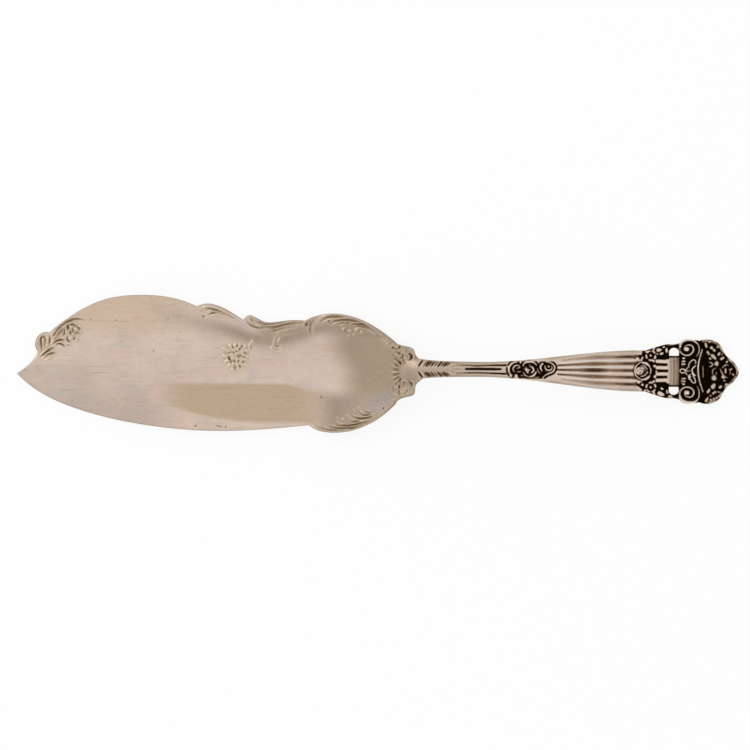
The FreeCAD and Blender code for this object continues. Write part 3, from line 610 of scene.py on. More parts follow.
# %% Tip, back and heel
ridges = [
    ([(-57.3, 3.4), (-57.5, 5.0), (-57.9, 6.4), (-57.5, 7.5), (-57.0, 8.3), (-56.2, 8.9),
      (-55.0, 9.0)], 0.8, 0.34),
    ([(-56.1, 7.6), (-56.1, 6.2), (-56.1, 4.8)], 0.6, 0.3),
    ([(-54.8, 8.4), (-54.8, 6.8), (-55.0, 5.4)], 0.6, 0.22),
    ([(-53.5, 7.0), (-52.5, 8.8), (-51.0, 10.6), (-49.7, 11.7), (-48.1, 12.6), (-46.4, 12.9)], 0.8, 0.42),
    ([(-53.6, 8.9), (-52.6, 10.8), (-51.2, 12.3), (-49.5, 13.5), (-47.6, 14.2), (-45.6, 14.1)], 0.6, 0.3),
    ([(-53.7, 6.2), (-52.8, 7.1), (-51.4, 7.8), (-50.0, 7.8)], 0.7, 0.34),
    ([(-52.6, 5.8), (-51.1, 6.6), (-49.8, 6.4)], 0.7, 0.3),
    ([(-56.9, 2.9), (-55.7, 4.0), (-54.6, 4.9), (-53.2, 5.3)], 0.7, 0.3),
    ([(-56.2, 1.9), (-54.7, 3.6), (-53.3, 4.0), (-52.0, 3.9)], 0.7, 0.3),
    ([(-55.4, 1.4), (-54.0, 2.3), (-52.6, 2.8)], 0.6, 0.22),
    ([(-10.2, 16.7), (-9.2, 17.3), (-8.0, 17.4), (-6.4, 17.2), (-4.6, 16.6), (-2.6, 15.7), (-0.9, 14.8),
      (0.9, 13.6)], 0.9, 0.42),
    ([(-8.6, 15.7), (-7.4, 16.2), (-5.8, 16.1), (-4.1, 15.8), (-2.6, 15.1)], 0.6, 0.3),
    ([(-9.8, 15.3), (-9.2, 14.2), (-8.2, 14.4), (-8.4, 15.1)], 0.5, 0.28),
    ([(-7.6, 14.7), (-6.0, 15.2), (-4.4, 14.9), (-2.4, 14.1)], 0.5, 0.22),
    ([(2.8, 14.0), (3.7, 14.6), (5.4, 14.1), (7.0, 13.4), (9.2, 13.2), (13.0, 13.5),
      (17.0, 13.9)], 0.6, 0.36),
    ([(3.6, 14.0), (4.8, 12.8), (6.3, 12.1)], 0.5, 0.34),
    ([(5.3, 13.5), (6.1, 12.6), (8.3, 12.1), (11.3, 12.3), (14.0, 12.9), (16.3, 13.3),
      (19.7, 13.5)], 0.6, 0.36),
    ([(7.0, 11.1), (9.4, 11.1), (11.4, 11.2), (13.7, 11.8), (15.8, 12.2), (19.4, 12.4)], 0.6, 0.34),
    ([(10.4, 10.0), (12.4, 10.4), (14.8, 11.1), (18.0, 11.6)], 0.5, 0.24),
    ([(19.6, 11.8), (20.4, 13.5), (21.9, 14.0), (22.2, 12.8), (20.9, 11.6)], 0.6, 0.34),
    ([(22.8, 12.6), (22.6, 11.2), (22.9, 9.9)], 0.6, 0.3),
    ([(23.6, 13.3), (25.0, 14.7), (27.4, 15.4), (31.0, 15.3), (34.4, 14.4), (37.3, 13.1), (40.0, 11.6),
      (42.6, 9.6)], 0.8, 0.42),
    ([(25.4, 12.9), (27.1, 14.0), (29.0, 14.2), (31.7, 14.5), (34.6, 14.1), (36.6, 13.1)], 0.6, 0.36),
    ([(28.0, 12.4), (29.8, 13.3), (32.8, 13.4), (35.0, 13.1), (37.0, 13.0)], 0.6, 0.34),
    ([(30.4, 12.2), (32.0, 12.8), (33.8, 12.8)], 0.5, 0.28),
    ([(34.2, 12.0), (35.6, 12.5), (37.2, 12.4), (38.6, 12.2)], 0.5, 0.32),
    ([(34.6, 11.1), (36.0, 11.7), (38.0, 11.3), (40.6, 10.0)], 0.6, 0.32),
    ([(23.0, -16.6), (24.8, -17.6), (26.8, -18.2), (30.0, -18.4), (34.6, -17.7), (38.2, -16.2),
      (41.4, -14.2), (43.6, -12.4)], 0.7, 0.42),
    ([(26.6, -16.9), (28.6, -17.6), (31.0, -17.8), (33.6, -17.6)], 0.5, 0.32),
    ([(28.4, -16.2), (30.2, -17.0), (32.0, -17.1), (34.8, -16.8), (37.4, -15.9)], 0.6, 0.36),
    ([(29.9, -15.2), (31.4, -16.1), (33.8, -16.1), (36.2, -15.6), (38.8, -14.9)], 0.6, 0.34),
    ([(33.6, -14.2), (35.0, -14.9), (37.2, -15.0), (39.4, -14.3)], 0.5, 0.32),
    ([(34.8, -13.2), (36.2, -14.0), (38.6, -13.9), (41.2, -12.9)], 0.6, 0.32),
    ([(36.9, -12.3), (38.0, -13.0), (39.6, -13.1), (42.4, -11.9)], 0.5, 0.3),
    ([(5.0, 7.9), (4.4, 6.9), (4.1, 6.0), (4.3, 5.1), (5.0, 4.5)], 0.6, 0.28),
    ([(10.5, 6.2), (10.8, 5.2), (11.9, 4.7), (13.0, 5.1), (13.4, 5.9)], 0.8, 0.36),
    ([(10.9, 6.0), (11.2, 7.4), (11.6, 8.8), (12.6, 9.9)], 0.5, 0.24),
    ([(12.3, 7.0), (12.6, 8.0), (13.2, 9.0)], 0.4, 0.2),
    ([(-10.6, -17.1), (-8.4, -17.2), (-6.0, -17.2)], 0.7, 0.12),
    ([(-3.1, -17.0), (-2.5, -16.7), (-1.9, -17.0), (-1.8, -17.6)], 0.4, 0.16),
]
cuts = [
    ([(-56.5, 4.0), (-56.6, 5.8), (-56.7, 7.3), (-56.5, 8.1), (-56.0, 8.4), (-55.6, 8.0), (-55.4, 7.0),
      (-55.6, 5.8)], 0.55, 0.9),
    ([(-54.2, 8.7), (-54.1, 7.0), (-54.3, 5.7)], 0.5, 0.9),
    ([(-53.4, 7.6), (-52.2, 9.4), (-50.6, 10.9), (-49.6, 11.6)], 0.4, 0.7),
    ([(-53.1, 8.6), (-52.0, 10.2), (-50.6, 11.6), (-49.3, 12.6), (-47.9, 13.3), (-46.6, 13.6),
      (-45.2, 13.5), (-44.3, 13.3), (-43.9, 12.7)], 0.55, 0.9),
    ([(-48.9, 11.8), (-48.8, 10.4)], 0.7, 1.0),
    ([(-48.1, 11.9), (-47.2, 11.9), (-46.5, 11.5)], 0.5, 0.95),
    ([(-49.9, 10.6), (-49.9, 9.3), (-50.3, 8.6)], 0.5, 0.95),
    ([(-48.1, 10.2), (-48.1, 9.0)], 0.55, 1.0),
    ([(-47.4, 11.2), (-47.5, 10.3), (-47.1, 9.5), (-46.3, 9.3)], 0.4, 0.9),
    ([(-46.6, 11.3), (-45.8, 11.0), (-45.5, 10.3), (-45.9, 9.6)], 0.4, 0.75),
    ([(-48.6, 8.5), (-49.1, 7.9), (-48.9, 7.3), (-48.2, 7.1)], 0.5, 0.95),
    ([(-46.9, 8.3), (-47.1, 7.5)], 0.5, 0.95),
    ([(-48.9, 6.2), (-48.6, 5.8)], 0.5, 0.8),
    ([(-45.7, 7.9), (-45.5, 7.1)], 0.4, 0.7),
    ([(-53.2, 6.3), (-52.1, 7.2), (-51.0, 7.5), (-49.7, 7.3)], 0.5, 0.95),
    ([(-52.5, 5.8), (-51.2, 6.4), (-50.2, 5.9), (-49.6, 5.3)], 0.5, 0.95),
    ([(-57.0, 2.3), (-55.3, 3.7), (-53.7, 4.9), (-52.2, 5.1)], 0.5, 0.9),
    ([(-55.2, 2.5), (-54.1, 3.4), (-52.3, 3.6)], 0.45, 0.9),
    ([(-9.1, 15.8), (-8.4, 16.5), (-7.6, 16.8), (-6.4, 16.7), (-4.8, 16.2), (-2.6, 15.3)], 0.5, 0.75),
    ([(-7.9, 15.1), (-6.7, 15.6), (-5.6, 15.7)], 0.5, 0.9),
    ([(-9.6, 14.7), (-9.3, 14.6)], 0.7, 1.0),
    ([(-10.1, 15.8), (-9.8, 16.2)], 0.5, 0.8),
    ([(3.0, 13.6), (4.2, 12.3), (6.0, 11.6), (8.0, 11.5)], 0.5, 0.85),
    ([(4.3, 14.2), (5.0, 13.3)], 0.45, 0.7),
    ([(6.2, 13.1), (7.4, 12.7), (10.4, 12.7), (13.4, 13.2), (16.0, 13.6)], 0.45, 0.7),
    ([(7.4, 11.6), (9.7, 11.7), (12.0, 11.8), (13.5, 12.4), (15.5, 12.8), (19.5, 12.95)], 0.5, 0.7),
    ([(9.0, 10.5), (11.4, 10.7), (13.0, 11.3), (15.0, 11.7)], 0.45, 0.65),
    ([(13.3, 9.9), (14.7, 10.2)], 0.45, 0.5),
    ([(20.4, 12.2), (20.9, 13.0)], 0.8, 1.0),
    ([(22.6, 13.8), (21.9, 12.9), (21.6, 11.4), (21.9, 9.7)], 0.55, 0.8),
    ([(24.0, 12.1), (25.0, 13.7), (26.5, 14.5), (29.1, 14.8), (31.5, 14.9)], 0.5, 0.8),
    ([(26.8, 12.5), (28.4, 13.3), (29.9, 13.8), (32.1, 14.0), (33.6, 13.8), (35.2, 13.5)], 0.5, 0.8),
    ([(30.2, 12.7), (32.0, 13.1), (33.6, 12.9)], 0.4, 0.6),
    ([(33.7, 12.4), (35.4, 12.8), (37.0, 12.7), (38.9, 11.9)], 0.5, 0.9),
    ([(33.6, 11.3), (34.2, 11.9), (35.7, 12.2), (37.3, 12.0), (38.6, 11.6)], 0.45, 0.7),
    ([(32.2, 11.8), (31.9, 10.6), (32.7, 9.8)], 0.5, 0.7),
    ([(34.2, 11.1), (34.0, 10.4), (34.7, 9.6)], 0.45, 0.6),
    ([(36.2, 11.3), (35.7, 10.6), (35.3, 9.9)], 0.45, 0.6),
    ([(27.0, 13.5), (27.3, 13.5)], 0.6, 1.0),
    ([(32.5, 13.05), (32.9, 13.1)], 0.6, 1.0),
    ([(22.8, -16.0), (24.6, -17.1), (26.6, -17.7), (29.4, -18.05), (33.2, -17.75)], 0.45, 0.65),
    ([(26.8, -16.5), (28.7, -17.2), (30.4, -17.45), (32.2, -17.4), (34.4, -17.2),
      (37.0, -16.4)], 0.5, 0.8),
    ([(29.0, -15.8), (30.2, -16.5), (32.0, -16.7), (34.2, -16.5), (36.2, -16.0),
      (38.6, -15.2)], 0.5, 0.85),
    ([(34.0, -15.3), (35.3, -15.4), (36.8, -15.2)], 0.5, 0.8),
    ([(34.2, -13.8), (35.7, -14.4), (37.6, -14.5), (39.0, -14.3), (40.4, -13.8)], 0.5, 0.9),
    ([(36.3, -12.5), (37.2, -13.4), (38.2, -13.5), (40.4, -13.2)], 0.5, 0.8),
    ([(37.7, -12.1), (38.5, -12.7), (39.9, -12.6)], 0.45, 0.7),
    ([(43.1, -11.7), (43.4, -11.3)], 0.6, 1.0),
    ([(28.5, -16.7), (28.9, -16.7)], 0.45, 0.7),
    ([(-12.0, -17.4), (-11.3, -17.2), (-10.7, -16.9)], 0.5, 0.85),
    ([(-5.7, -16.9), (-4.6, -17.2), (-3.2, -17.3)], 0.45, 0.85),
    ([(-2.7, -17.4), (-2.3, -17.4)], 0.6, 1.0),
    ([(4.8, 7.0), (4.6, 6.0), (4.9, 5.0)], 0.4, 0.6),
    ([(11.4, 6.8), (12.2, 6.2), (12.9, 6.8)], 0.5, 0.8),
]


def carve(ridges, cuts=(), end=0.45):
    """Ridges with their heights, cuts with how black they are."""
    for points, width, height in ridges:
        line(points, width, height, end, end)
    for points, width, dark in cuts:
        line(points, width, -0.1 - 0.14 * dark, end, end, 1.0, dark ** 2)


carve(ridges, cuts)
line([(-52.0, 8.9), (-50.4, 10.5)], 1.5, -0.05, 0.5, 0.5, 1.0, 0.22)
berries = [
    (-48.0, 11.1, 0.6), (-49.4, 9.6, 0.7), (-46.4, 10.6, 0.6), (-45.5, 10.0, 0.5), (-47.0, 9.4, 0.6),
    (-45.8, 8.9, 0.45), (-47.8, 8.0, 0.6), (-48.6, 6.3, 0.5), (-46.6, 12.1, 0.45), (-45.2, 11.4, 0.5),
    (-50.9, 9.2, 0.4), (-46.2, 7.3, 0.35), (31.4, 11.3, 0.5), (33.2, 10.8, 0.5), (34.4, 9.9, 0.4),
    (35.0, 10.9, 0.45), (36.4, 10.5, 0.45), (32.8, 9.4, 0.35), (31.6, -14.6, 0.45), (33.0, -13.6, 0.4),
    (35.2, -12.4, 0.4), (36.6, -11.5, 0.35), (30.0, -14.3, 0.35),
]
for cx, cy, radius in berries:
    ball(cx, cy, radius, 0.34)
for share in np.linspace(0, 1, 5):
    px, py = mix(43.2, 45.4, share), mix(9.3, 7.2, share)
    line([(px, py), (px - 0.7, py - 0.9)], 0.4, -0.14, 0.6, 0.6, 1.0, 0.5)
print("ridges, cuts and berries:", len(ridges), len(cuts), len(berries))

# %% Scratches and pock marks of use
scratches = [
    [(-39.4, -7.0), (-37.6, -8.4), (-35.4, -9.6), (-33.2, -10.7), (-32.2, -11.6)],
    [(-33.4, -10.6), (-32.0, -12.2), (-30.8, -13.8)],
    [(-36.6, -9.4), (-34.2, -11.0), (-32.6, -12.6)],
    [(-14.6, 1.4), (-12.4, 2.6), (-11.4, 4.0)],
    [(-15.0, -0.2), (-12.0, -3.0), (-10.4, -4.6)],
]
for points in scratches:
    line(points, 0.5, -0.03, 0.4, 0.4, 1.0, 0.3)
for px, py in pocks:
    line([(px - 0.15, py), (px + 0.2, py + 0.1)], 0.6, -0.05, 1, 1, 1.0, 0.4)
print("scratches and pock marks:", len(scratches), len(pocks))

# %% Spray
spray = (0.4, 3.8)
ball(*spray, 0.8, 0.36)
spray_leaves = [
    (-0.6, 5.0, 120, 1.5, 0.8), (0.6, 5.4, 85, 1.4, 0.8), (1.9, 4.9, 40, 1.6, 0.9),
    (2.1, 3.9, 10, 1.2, 0.9), (-1.0, 3.6, 190, 1.4, 0.8), (0.3, 2.2, 270, 1.3, 0.9),
    (1.5, 2.4, -40, 1.4, 0.7), (-0.7, 2.6, 220, 1.3, 0.8), (-2.4, 4.9, 150, 2.4, 1.0),
    (-2.6, 3.2, 170, 1.8, 1.1), (-2.3, 1.9, 210, 1.5, 0.8), (-1.4, 6.0, 110, 1.6, 0.8),
    (-0.1, 6.4, 70, 1.4, 0.7), (1.1, 6.3, 100, 1.3, 0.7), (2.6, 6.0, 60, 1.5, 0.8),
    (3.4, 4.8, 30, 1.5, 0.9), (3.4, 3.2, 15, 1.5, 0.8), (2.9, 2.2, -25, 1.5, 0.8),
    (-1.6, 0.6, 230, 1.6, 0.9), (-0.6, 1.0, 250, 1.4, 0.7), (0.6, 0.6, 265, 1.7, 0.8),
    (1.8, 0.9, -60, 1.7, 0.9), (2.9, 0.8, -50, 1.4, 0.7), (-0.9, -0.5, 240, 1.2, 0.7),
    (0.9, -0.4, 275, 1.1, 0.6),
]
for px, py, turn, length, width in spray_leaves:
    leaf(px, py, turn, 1.25 * length, 1.3 * width, 0.34, 0.25)
spray_cuts = [
    (-0.4, 4.2, 150), (1.2, 5.2, 60), (-1.7, 4.2, 30), (-1.9, 2.6, 10), (1.0, 3.0, -50), (0.9, 1.6, 80),
    (-0.2, 1.7, 70), (2.7, 2.9, 10), (2.8, 4.2, 20), (-0.8, 5.7, 100), (0.5, 6.2, 80), (1.9, 6.0, 70),
    (2.3, 1.4, -60), (-1.1, 1.5, 50), (-0.1, -0.2, 80), (1.3, 0.2, 100),
]
for px, py, turn in spray_cuts:
    dx, dy = 0.45 * math.cos(math.radians(turn)), 0.45 * math.sin(math.radians(turn))
    line([(px - dx, py - dy), (px + dx, py + dy)], 0.48, -0.2, 0.5, 0.5, 1.0, 0.72)
for px, py in ((0.2, 4.6), (0.3, 3.6), (1.3, 3.45)):
    line([(px, py), (px + 0.25, py)], 0.4, -0.2, 1, 1, 1.0, 0.9)
line([(-2.1, 3.2), (-1.5, 1.9)], 0.55, -0.25, 0.6, 0.6, 1.0, 1.0)
print("leaves and cuts of the spray:", len(spray_leaves), len(spray_cuts))

# %% Shell
shell_ridges = [
    ([(46.2, 4.6), (47.0, 3.9), (47.7, 3.5)], 1.0, 0.4),
    ([(46.1, 2.6), (46.9, 1.9), (47.6, 1.4)], 0.9, 0.42),
    ([(45.7, 1.0), (46.7, 0.4), (47.7, 0.2)], 0.9, 0.42),
    ([(45.6, -1.0), (46.6, -1.0), (47.8, -0.9)], 1.0, 0.42),
    ([(45.8, -2.8), (46.8, -2.3), (47.8, -1.8)], 0.9, 0.42),
    ([(46.3, -4.3), (47.0, -3.4), (47.9, -2.7)], 0.9, 0.42),
    ([(46.4, -5.9), (47.2, -5.0), (47.6, -4.2)], 0.9, 0.4),
    ([(48.7, 4.6), (49.7, 4.3), (50.4, 3.7), (50.2, 2.9), (49.4, 2.7)], 0.7, 0.42),
    ([(51.6, 4.9), (51.9, 3.7), (51.5, 2.6)], 0.6, 0.3),
    ([(48.5, 3.4), (48.3, 2.3), (49.0, 1.2)], 0.6, 0.36),
    ([(47.4, 2.0), (47.8, 1.1), (48.4, 0.8)], 0.5, 0.3),
    ([(48.6, -3.4), (49.7, -3.7), (50.5, -4.3), (50.4, -5.3)], 0.7, 0.42),
    ([(51.4, -3.4), (51.9, -4.4), (51.8, -5.4)], 0.6, 0.3),
    ([(48.4, -2.8), (48.3, -3.9), (48.7, -5.0)], 0.6, 0.36),
    ([(49.6, -5.2), (49.5, -6.2), (48.9, -6.9)], 0.6, 0.34),
    ([(46.2, 6.9), (46.9, 6.2), (47.3, 6.9), (46.8, 7.3)], 0.7, 0.34),
    ([(46.0, 5.3), (46.9, 5.3), (47.8, 5.1)], 0.5, 0.3),
    ([(50.3, 5.9), (51.4, 5.6), (52.2, 4.9)], 0.6, 0.26),
    ([(46.4, -7.3), (47.2, -7.8), (47.4, -8.9)], 0.7, 0.32),
]
shell_cuts = [
    ([(45.6, 6.0), (45.9, 6.1)], 0.85, 1.0),
    ([(45.7, 7.1), (45.8, 7.2)], 0.45, 0.6),
    ([(47.6, 5.8), (48.0, 6.6)], 0.6, 1.0),
    ([(46.1, 5.5), (46.9, 5.8)], 0.4, 0.5),
    ([(47.3, 4.7), (48.1, 4.2)], 0.55, 0.9),
    ([(48.6, 4.2), (48.6, 3.3), (48.0, 3.1)], 0.55, 0.95),
    ([(45.7, 3.8), (46.3, 3.7)], 0.45, 0.5),
    ([(45.8, 3.1), (46.5, 2.9), (47.2, 2.3), (47.6, 2.7)], 0.45, 0.7),
    ([(47.5, 2.3), (48.2, 1.2)], 0.55, 1.0),
    ([(48.9, 2.9), (49.0, 2.1), (49.6, 1.4)], 0.6, 0.55),
    ([(50.5, 4.4), (51.2, 3.7), (51.1, 3.0), (50.6, 2.5)], 0.7, 1.0),
    ([(49.7, 5.9), (49.9, 4.8)], 0.5, 0.7),
    ([(46.6, 1.5), (46.9, 0.8), (47.7, 0.6)], 0.45, 0.5),
    ([(45.6, -0.2), (47.8, -0.3)], 0.5, 0.55),
    ([(45.6, -2.1), (46.7, -1.7), (47.8, -1.4)], 0.5, 0.55),
    ([(46.4, -3.4), (47.0, -2.6), (47.8, -2.2)], 0.5, 0.6),
    ([(46.7, -4.6), (46.8, -3.8)], 0.45, 0.5),
    ([(48.3, -2.6), (47.8, -3.9)], 0.55, 0.85),
    ([(47.7, -4.8), (47.9, -5.7)], 0.55, 1.0),
    ([(48.1, -6.0), (47.7, -6.7), (48.2, -7.6)], 0.5, 0.8),
    ([(49.0, -3.7), (49.2, -4.7), (48.7, -5.6)], 0.7, 0.5),
    ([(50.7, -3.7), (51.3, -4.4), (51.2, -5.3)], 0.6, 0.8),
    ([(45.9, -5.2), (46.0, -6.1), (46.4, -6.8)], 0.5, 0.5),
    ([(50.1, -6.1), (49.9, -7.3)], 0.5, 0.6),
    ([(45.7, -8.3), (46.0, -8.5)], 0.4, 0.5),
]
shell_cuts += [([(px, 6.3), (px + 0.25, 5.3)], 0.35, 0.5) for px in (48.6, 48.95, 49.3)]
carve(shell_ridges, shell_cuts, 0.55)
print("blade carving reaches", round(raised.max(), 2), "mm")

# %% [markdown]
# ## Ornament of the handle
# The stem carries slanting cuts, then a slot between two reeds; the knot a rose between
# two scrolls; the column five flutes and a garland; the end a scrolled capital under a
# bunch of flowers.  Where the pattern is dense the die sinks the whole ground and leaves
# the ornament standing, so the ground is lowered first.

# %% Stem
def blacken(share):
    """Marks where the sulphide was left in the ground."""
    black[:] = np.maximum(black, share)


def sink(where, depth):
    """Lowers the ground between ornaments and leaves it black."""
    sunk[:] = np.minimum(sunk, -depth * where)
    blacken(where)


def between(low, high, edge=0.3):
    """1 between two stations, with soft ends."""
    return smooth((x - low) / edge + 0.5) * smooth((high - x) / edge + 0.5)


slanting_cuts = [
    (53.2, 1.0), (54.6, 0.5), (55.3, 0.9), (56.0, 0.6), (56.8, 0.75), (57.7, 0.5), (58.7, 1.0),
    (59.6, 0.6), (60.4, 0.9), (61.2, 0.45),
]
for px, dark in slanting_cuts:
    reach = 0.86 * float(half_width(px + 1.0))
    width, depth = 0.2 + 0.36 * dark, 0.12 + 0.2 * dark
    upper_cut = [(px, 0.45), (px + 0.5, 0.5 * reach + 0.2), (px + 1.3, reach)]
    lower_cut = [(px - 0.1, -0.65), (px + 0.5, -0.5 * reach - 0.3), (px + 1.2, -reach)]
    for points in (upper_cut, lower_cut):
        line(points, width, -depth, 0.4, 0.9, 1, dark)
    for points in ([(px + 0.4, 0.4), (px + 1.5, reach)], [(px + 0.3, -0.6), (px + 1.4, -reach)]):
        line(points, 0.3, 0.1, 0.5, 0.8)
for side in (1, -1):
    reed = [(px, 0.05 + (1.0 + 0.03 * abs(px - 70)) * side) for px in (64.2, 66, 68, 70, 72, 74, 76, 78.4)]
    line(reed, 0.4, -0.3, 0.5, 1, 1, 0.7)
    line(reed[4:], 0.5, -0.3, 0.3, 1.2, 1, 1)
    beside_slot = [(66.6, 0.1 + 0.56 * side), (71.0, 0.1 + 0.56 * side), (78.0, 0.1 + 0.6 * side)]
    line(beside_slot, 0.4, 0.16, 0.6, 0.6)
slot = [(66.9, 0.1), (70.0, 0.1), (73.5, 0.1), (76.9, 0.12)]
line(slot, 0.82, -0.3, 0.9, 0.9, 1, 1)
for side in (1, -1):
    line([(61.9, 0.8 * side), (63.2, 1.35 * side), (64.2, 1.3 * side)], 0.5, 0.14, 0.6, 0.6)
    line([(62.4, 0.15 * side), (64.4, 0.55 * side), (66.6, 0.35 * side)], 0.45, 0.14, 0.6, 0.6)
print("slanting cuts on the stem:", len(slanting_cuts))

# %% Flutes
flute_start, flute_end = column_x + 0.5, neck_x - 0.2
pitch_stations = [93, 94.5, 100, 104.6, 115.5, 122, 125.5]
pitches = [1.25, 1.35, 1.66, 1.85, 2.0, 1.85, 1.78]
for i in (-2, -1, 0, 1, 2):
    stop = flute_end - 0.25 * abs(i)
    stations = np.linspace(flute_start - 0.4 + 1.0 * abs(i), stop, 10)
    pitch = np.interp(stations, pitch_stations, pitches)
    line(np.stack([stations, 0.1 + i * pitch], 1), 1.7, -0.5, 0.4, 0.62, 0.8)
flute_dark = np.interp(x, [92, 95.5, 98, 101, 108, 111, 114], [1.0, 0.85, 0.55, 0.46, 0.5, 0.7, 1.0])
outer = smooth((np.abs(y - 0.1) / np.interp(x, pitch_stations, pitches) - 1.4) / 0.2)
flute_dark *= mix(1, np.interp(x, [92, 100, 108, 111], [0.45, 0.65, 0.8, 1.0]), outer)
flute_dark += 0.25 * smooth((0.6 - np.abs(y - 0.1)) / 0.2) * between(101, 107, 4)
flute_edge = 0.05 + 0.2 * smooth((x - 103) / 8) * (x < 118)
blacken(flute_dark * smooth((-sunk - flute_edge) / 0.36) * between(column_x - 1, neck_x + 1))
blacken(smooth((-sunk - 0.1) / 0.12) * between(heel_x - 1, knot_x + 1))
print("deepest flute", round(-sunk.min(), 2), "mm")

# %% Knot
knot_lines = [
    ([(80.2, -1.7), (79.4, -0.8), (79.3, 0.6), (80.2, 1.8), (81.6, 2.2)], 0.85, 0.5),
    ([(82.4, 1.0), (81.2, 1.2), (80.5, 0.4), (80.9, -0.6)], 0.6, 0.45),
    ([(81.5, 0.3), (82.6, 0.8)], 0.45, 0.35),
    ([(81.6, -0.6), (82.9, -0.5)], 0.4, 0.35),
    ([(83.4, 1.1), (84.0, 2.1), (85.0, 2.3), (86.3, 2.2), (87.2, 1.4)], 0.75, 0.5),
    ([(83.4, -0.5), (84.0, -1.5), (85.0, -2.0)], 0.5, 0.45),
    ([(85.2, -2.0), (86.4, -1.6), (87.2, -0.5)], 0.8, 0.5),
    ([(85.4, 0.9), (86.2, 0.6), (86.4, -0.2), (85.7, -0.8)], 0.75, 0.5),
    ([(84.9, 1.3), (85.6, 1.4)], 0.4, 0.35),
    ([(88.8, 1.8), (88.4, 0.8), (88.9, -0.3)], 0.75, 0.5),
    ([(87.6, 0.5), (87.8, -0.5), (88.5, -1.0)], 0.4, 0.4),
    ([(89.8, 1.3), (89.9, 0.3), (90.8, -0.1), (91.7, 0.4), (91.6, 1.2)], 0.6, 0.45),
    ([(90.1, 2.3), (91.5, 2.0), (92.5, 0.9), (92.1, -0.3), (90.8, -1.0), (89.7, -1.6),
      (89.1, -2.4)], 0.65, 0.55),
    ([(82.6, -1.7), (83.6, -1.6)], 0.4, 0.3),
    ([(86.5, -2.2), (88.2, -2.1)], 0.4, 0.3),
]


def round_lines(lines, reach):
    """1 on the ground that lies close to any of the lines."""
    gap = np.full(len(top_plan), far_away)
    for points, *_ in lines:
        gap = np.minimum(gap, distance_to_line(x, y, smooth_curve(points, 0.4)))
    return smooth((reach - gap) / 0.35)


sink(round_lines(knot_lines, 0.95) * smooth((2.7 - np.abs(y)) / 0.4), 0.25)
carve(knot_lines, end=0.6)
knot_balls = [
    (84.3, 0.0, 0.55, 0.5), (91.0, 1.0, 0.22, 0.35), (88.9, 1.75, 0.4, 0.5), (79.9, -1.7, 0.5, 0.5),
    (78.9, 0.9, 0.3, 0.35),
]
for px, py, radius, height in knot_balls:
    ball(px, py, radius, height)
print("strokes of the knot:", len(knot_lines))

# %% Garland
rose, daisies = (118.2, 0.05), ((120.5, 4.5), (120.6, -4.7))
in_rose = smooth((3.1 - np.hypot(x - rose[0], y - rose[1])) / 0.4)
beside = smooth((np.abs(y) - 3.3) / 0.4) * smooth((x - 116.0 - 1.3 * (np.abs(y) - 3.9).clip(0, 1.6)) / 0.4)
middle = between(118, 121.9, 0.6)
around = np.maximum(np.maximum(in_rose, beside), middle)
sink(around * between(115.2, 130.4, 0.6) * (1 - between(125.9, 129.0, 0.4) * (np.abs(y) < 4.2)), 0.3)

garland_lines = [
    ([(118.3, 2.55), (117.5, 2.45), (116.8, 2.0), (116.1, 1.3), (115.85, 0.5), (115.85, -0.5),
      (116.2, -1.4), (116.9, -2.0), (117.6, -2.4), (118.4, -2.6)], 0.6, 0.5),
    ([(118.1, 2.35), (119.2, 2.1), (120.0, 1.5)], 1.0, 0.5),
    ([(118.2, -2.45), (119.2, -2.2), (120.1, -1.5)], 1.0, 0.5),
    ([(120.0, 1.3), (120.5, 0.4), (120.3, -0.9)], 0.5, 0.4),
    ([(118.0, 1.8), (118.9, 1.1), (119.5, 0.3)], 0.5, 0.42),
    ([(117.5, 1.5), (118.3, 0.9), (118.9, 0.0)], 0.45, 0.45),
    ([(119.2, -0.6), (118.9, -1.1), (118.2, -1.5), (117.4, -1.5)], 0.5, 0.4),
    ([(119.3, -0.1), (119.6, -0.7)], 0.5, 0.35),
]
carve(garland_lines, end=0.7)
ball(117.2, 0.0, 1.25, 0.5)
rose_folds = [
    [(116.5, 0.3), (116.6, -0.2)],
    [(116.9, 0.6), (117.5, 0.5), (118.0, 0.1)],
    [(117.0, -0.3), (117.5, -0.5), (117.9, -0.4)],
    [(117.0, -0.95), (117.6, -0.95)],
]
for points in rose_folds:
    line(points, 0.34, -0.2, 0.6, 0.6, 1, 0.6)
for (cx, cy), turn in zip(daisies, (15, -15)):
    rosette(cx, cy, 1.8, 5, 0.5, turn, 0.1, 1.0)
    ball(cx - 0.1, cy, 0.42, 0.6)
buds = [
    (116.6, 3.55, 0.6), (118.0, 3.8, 0.4), (121.6, 1.5, 0.5), (121.7, -1.6, 0.5), (117.0, -3.25, 0.6),
    (118.1, -3.95, 0.45), (121.3, 2.9, 0.42), (121.4, -3.0, 0.42), (119.2, 5.6, 0.4), (118.9, -5.6, 0.4),
    (117.6, 4.9, 0.35), (122.1, 0.0, 0.3),
]
for px, py, radius in buds:
    ball(px, py, radius, 0.48)
wing_leaves = [
    (122.9, 6.1, 10, 1.8, 1.1, 0.5), (123.7, 5.1, 20, 1.5, 0.8, 0.35), (125.1, 6.1, 95, 1.7, 0.8, 0.45),
    (124.3, 7.0, 25, 1.1, 0.6, 0.35), (121.4, 6.5, 60, 1.3, 0.7, 0.35), (122.4, 5.0, 150, 1.0, 0.5, 0.3),
    (123.6, -6.6, -20, 2.4, 1.4, 0.5), (123.9, -5.1, -25, 1.3, 0.7, 0.35), (125.4, -5.9, 100, 1.5, 0.7, 0.45),
    (121.6, -6.5, -60, 1.2, 0.7, 0.35), (126.4, -7.3, -10, 1.6, 0.8, 0.4),
]
for px, py, turn, length, width, height in wing_leaves:
    leaf(px, py, turn, length, width, height, 0.35)
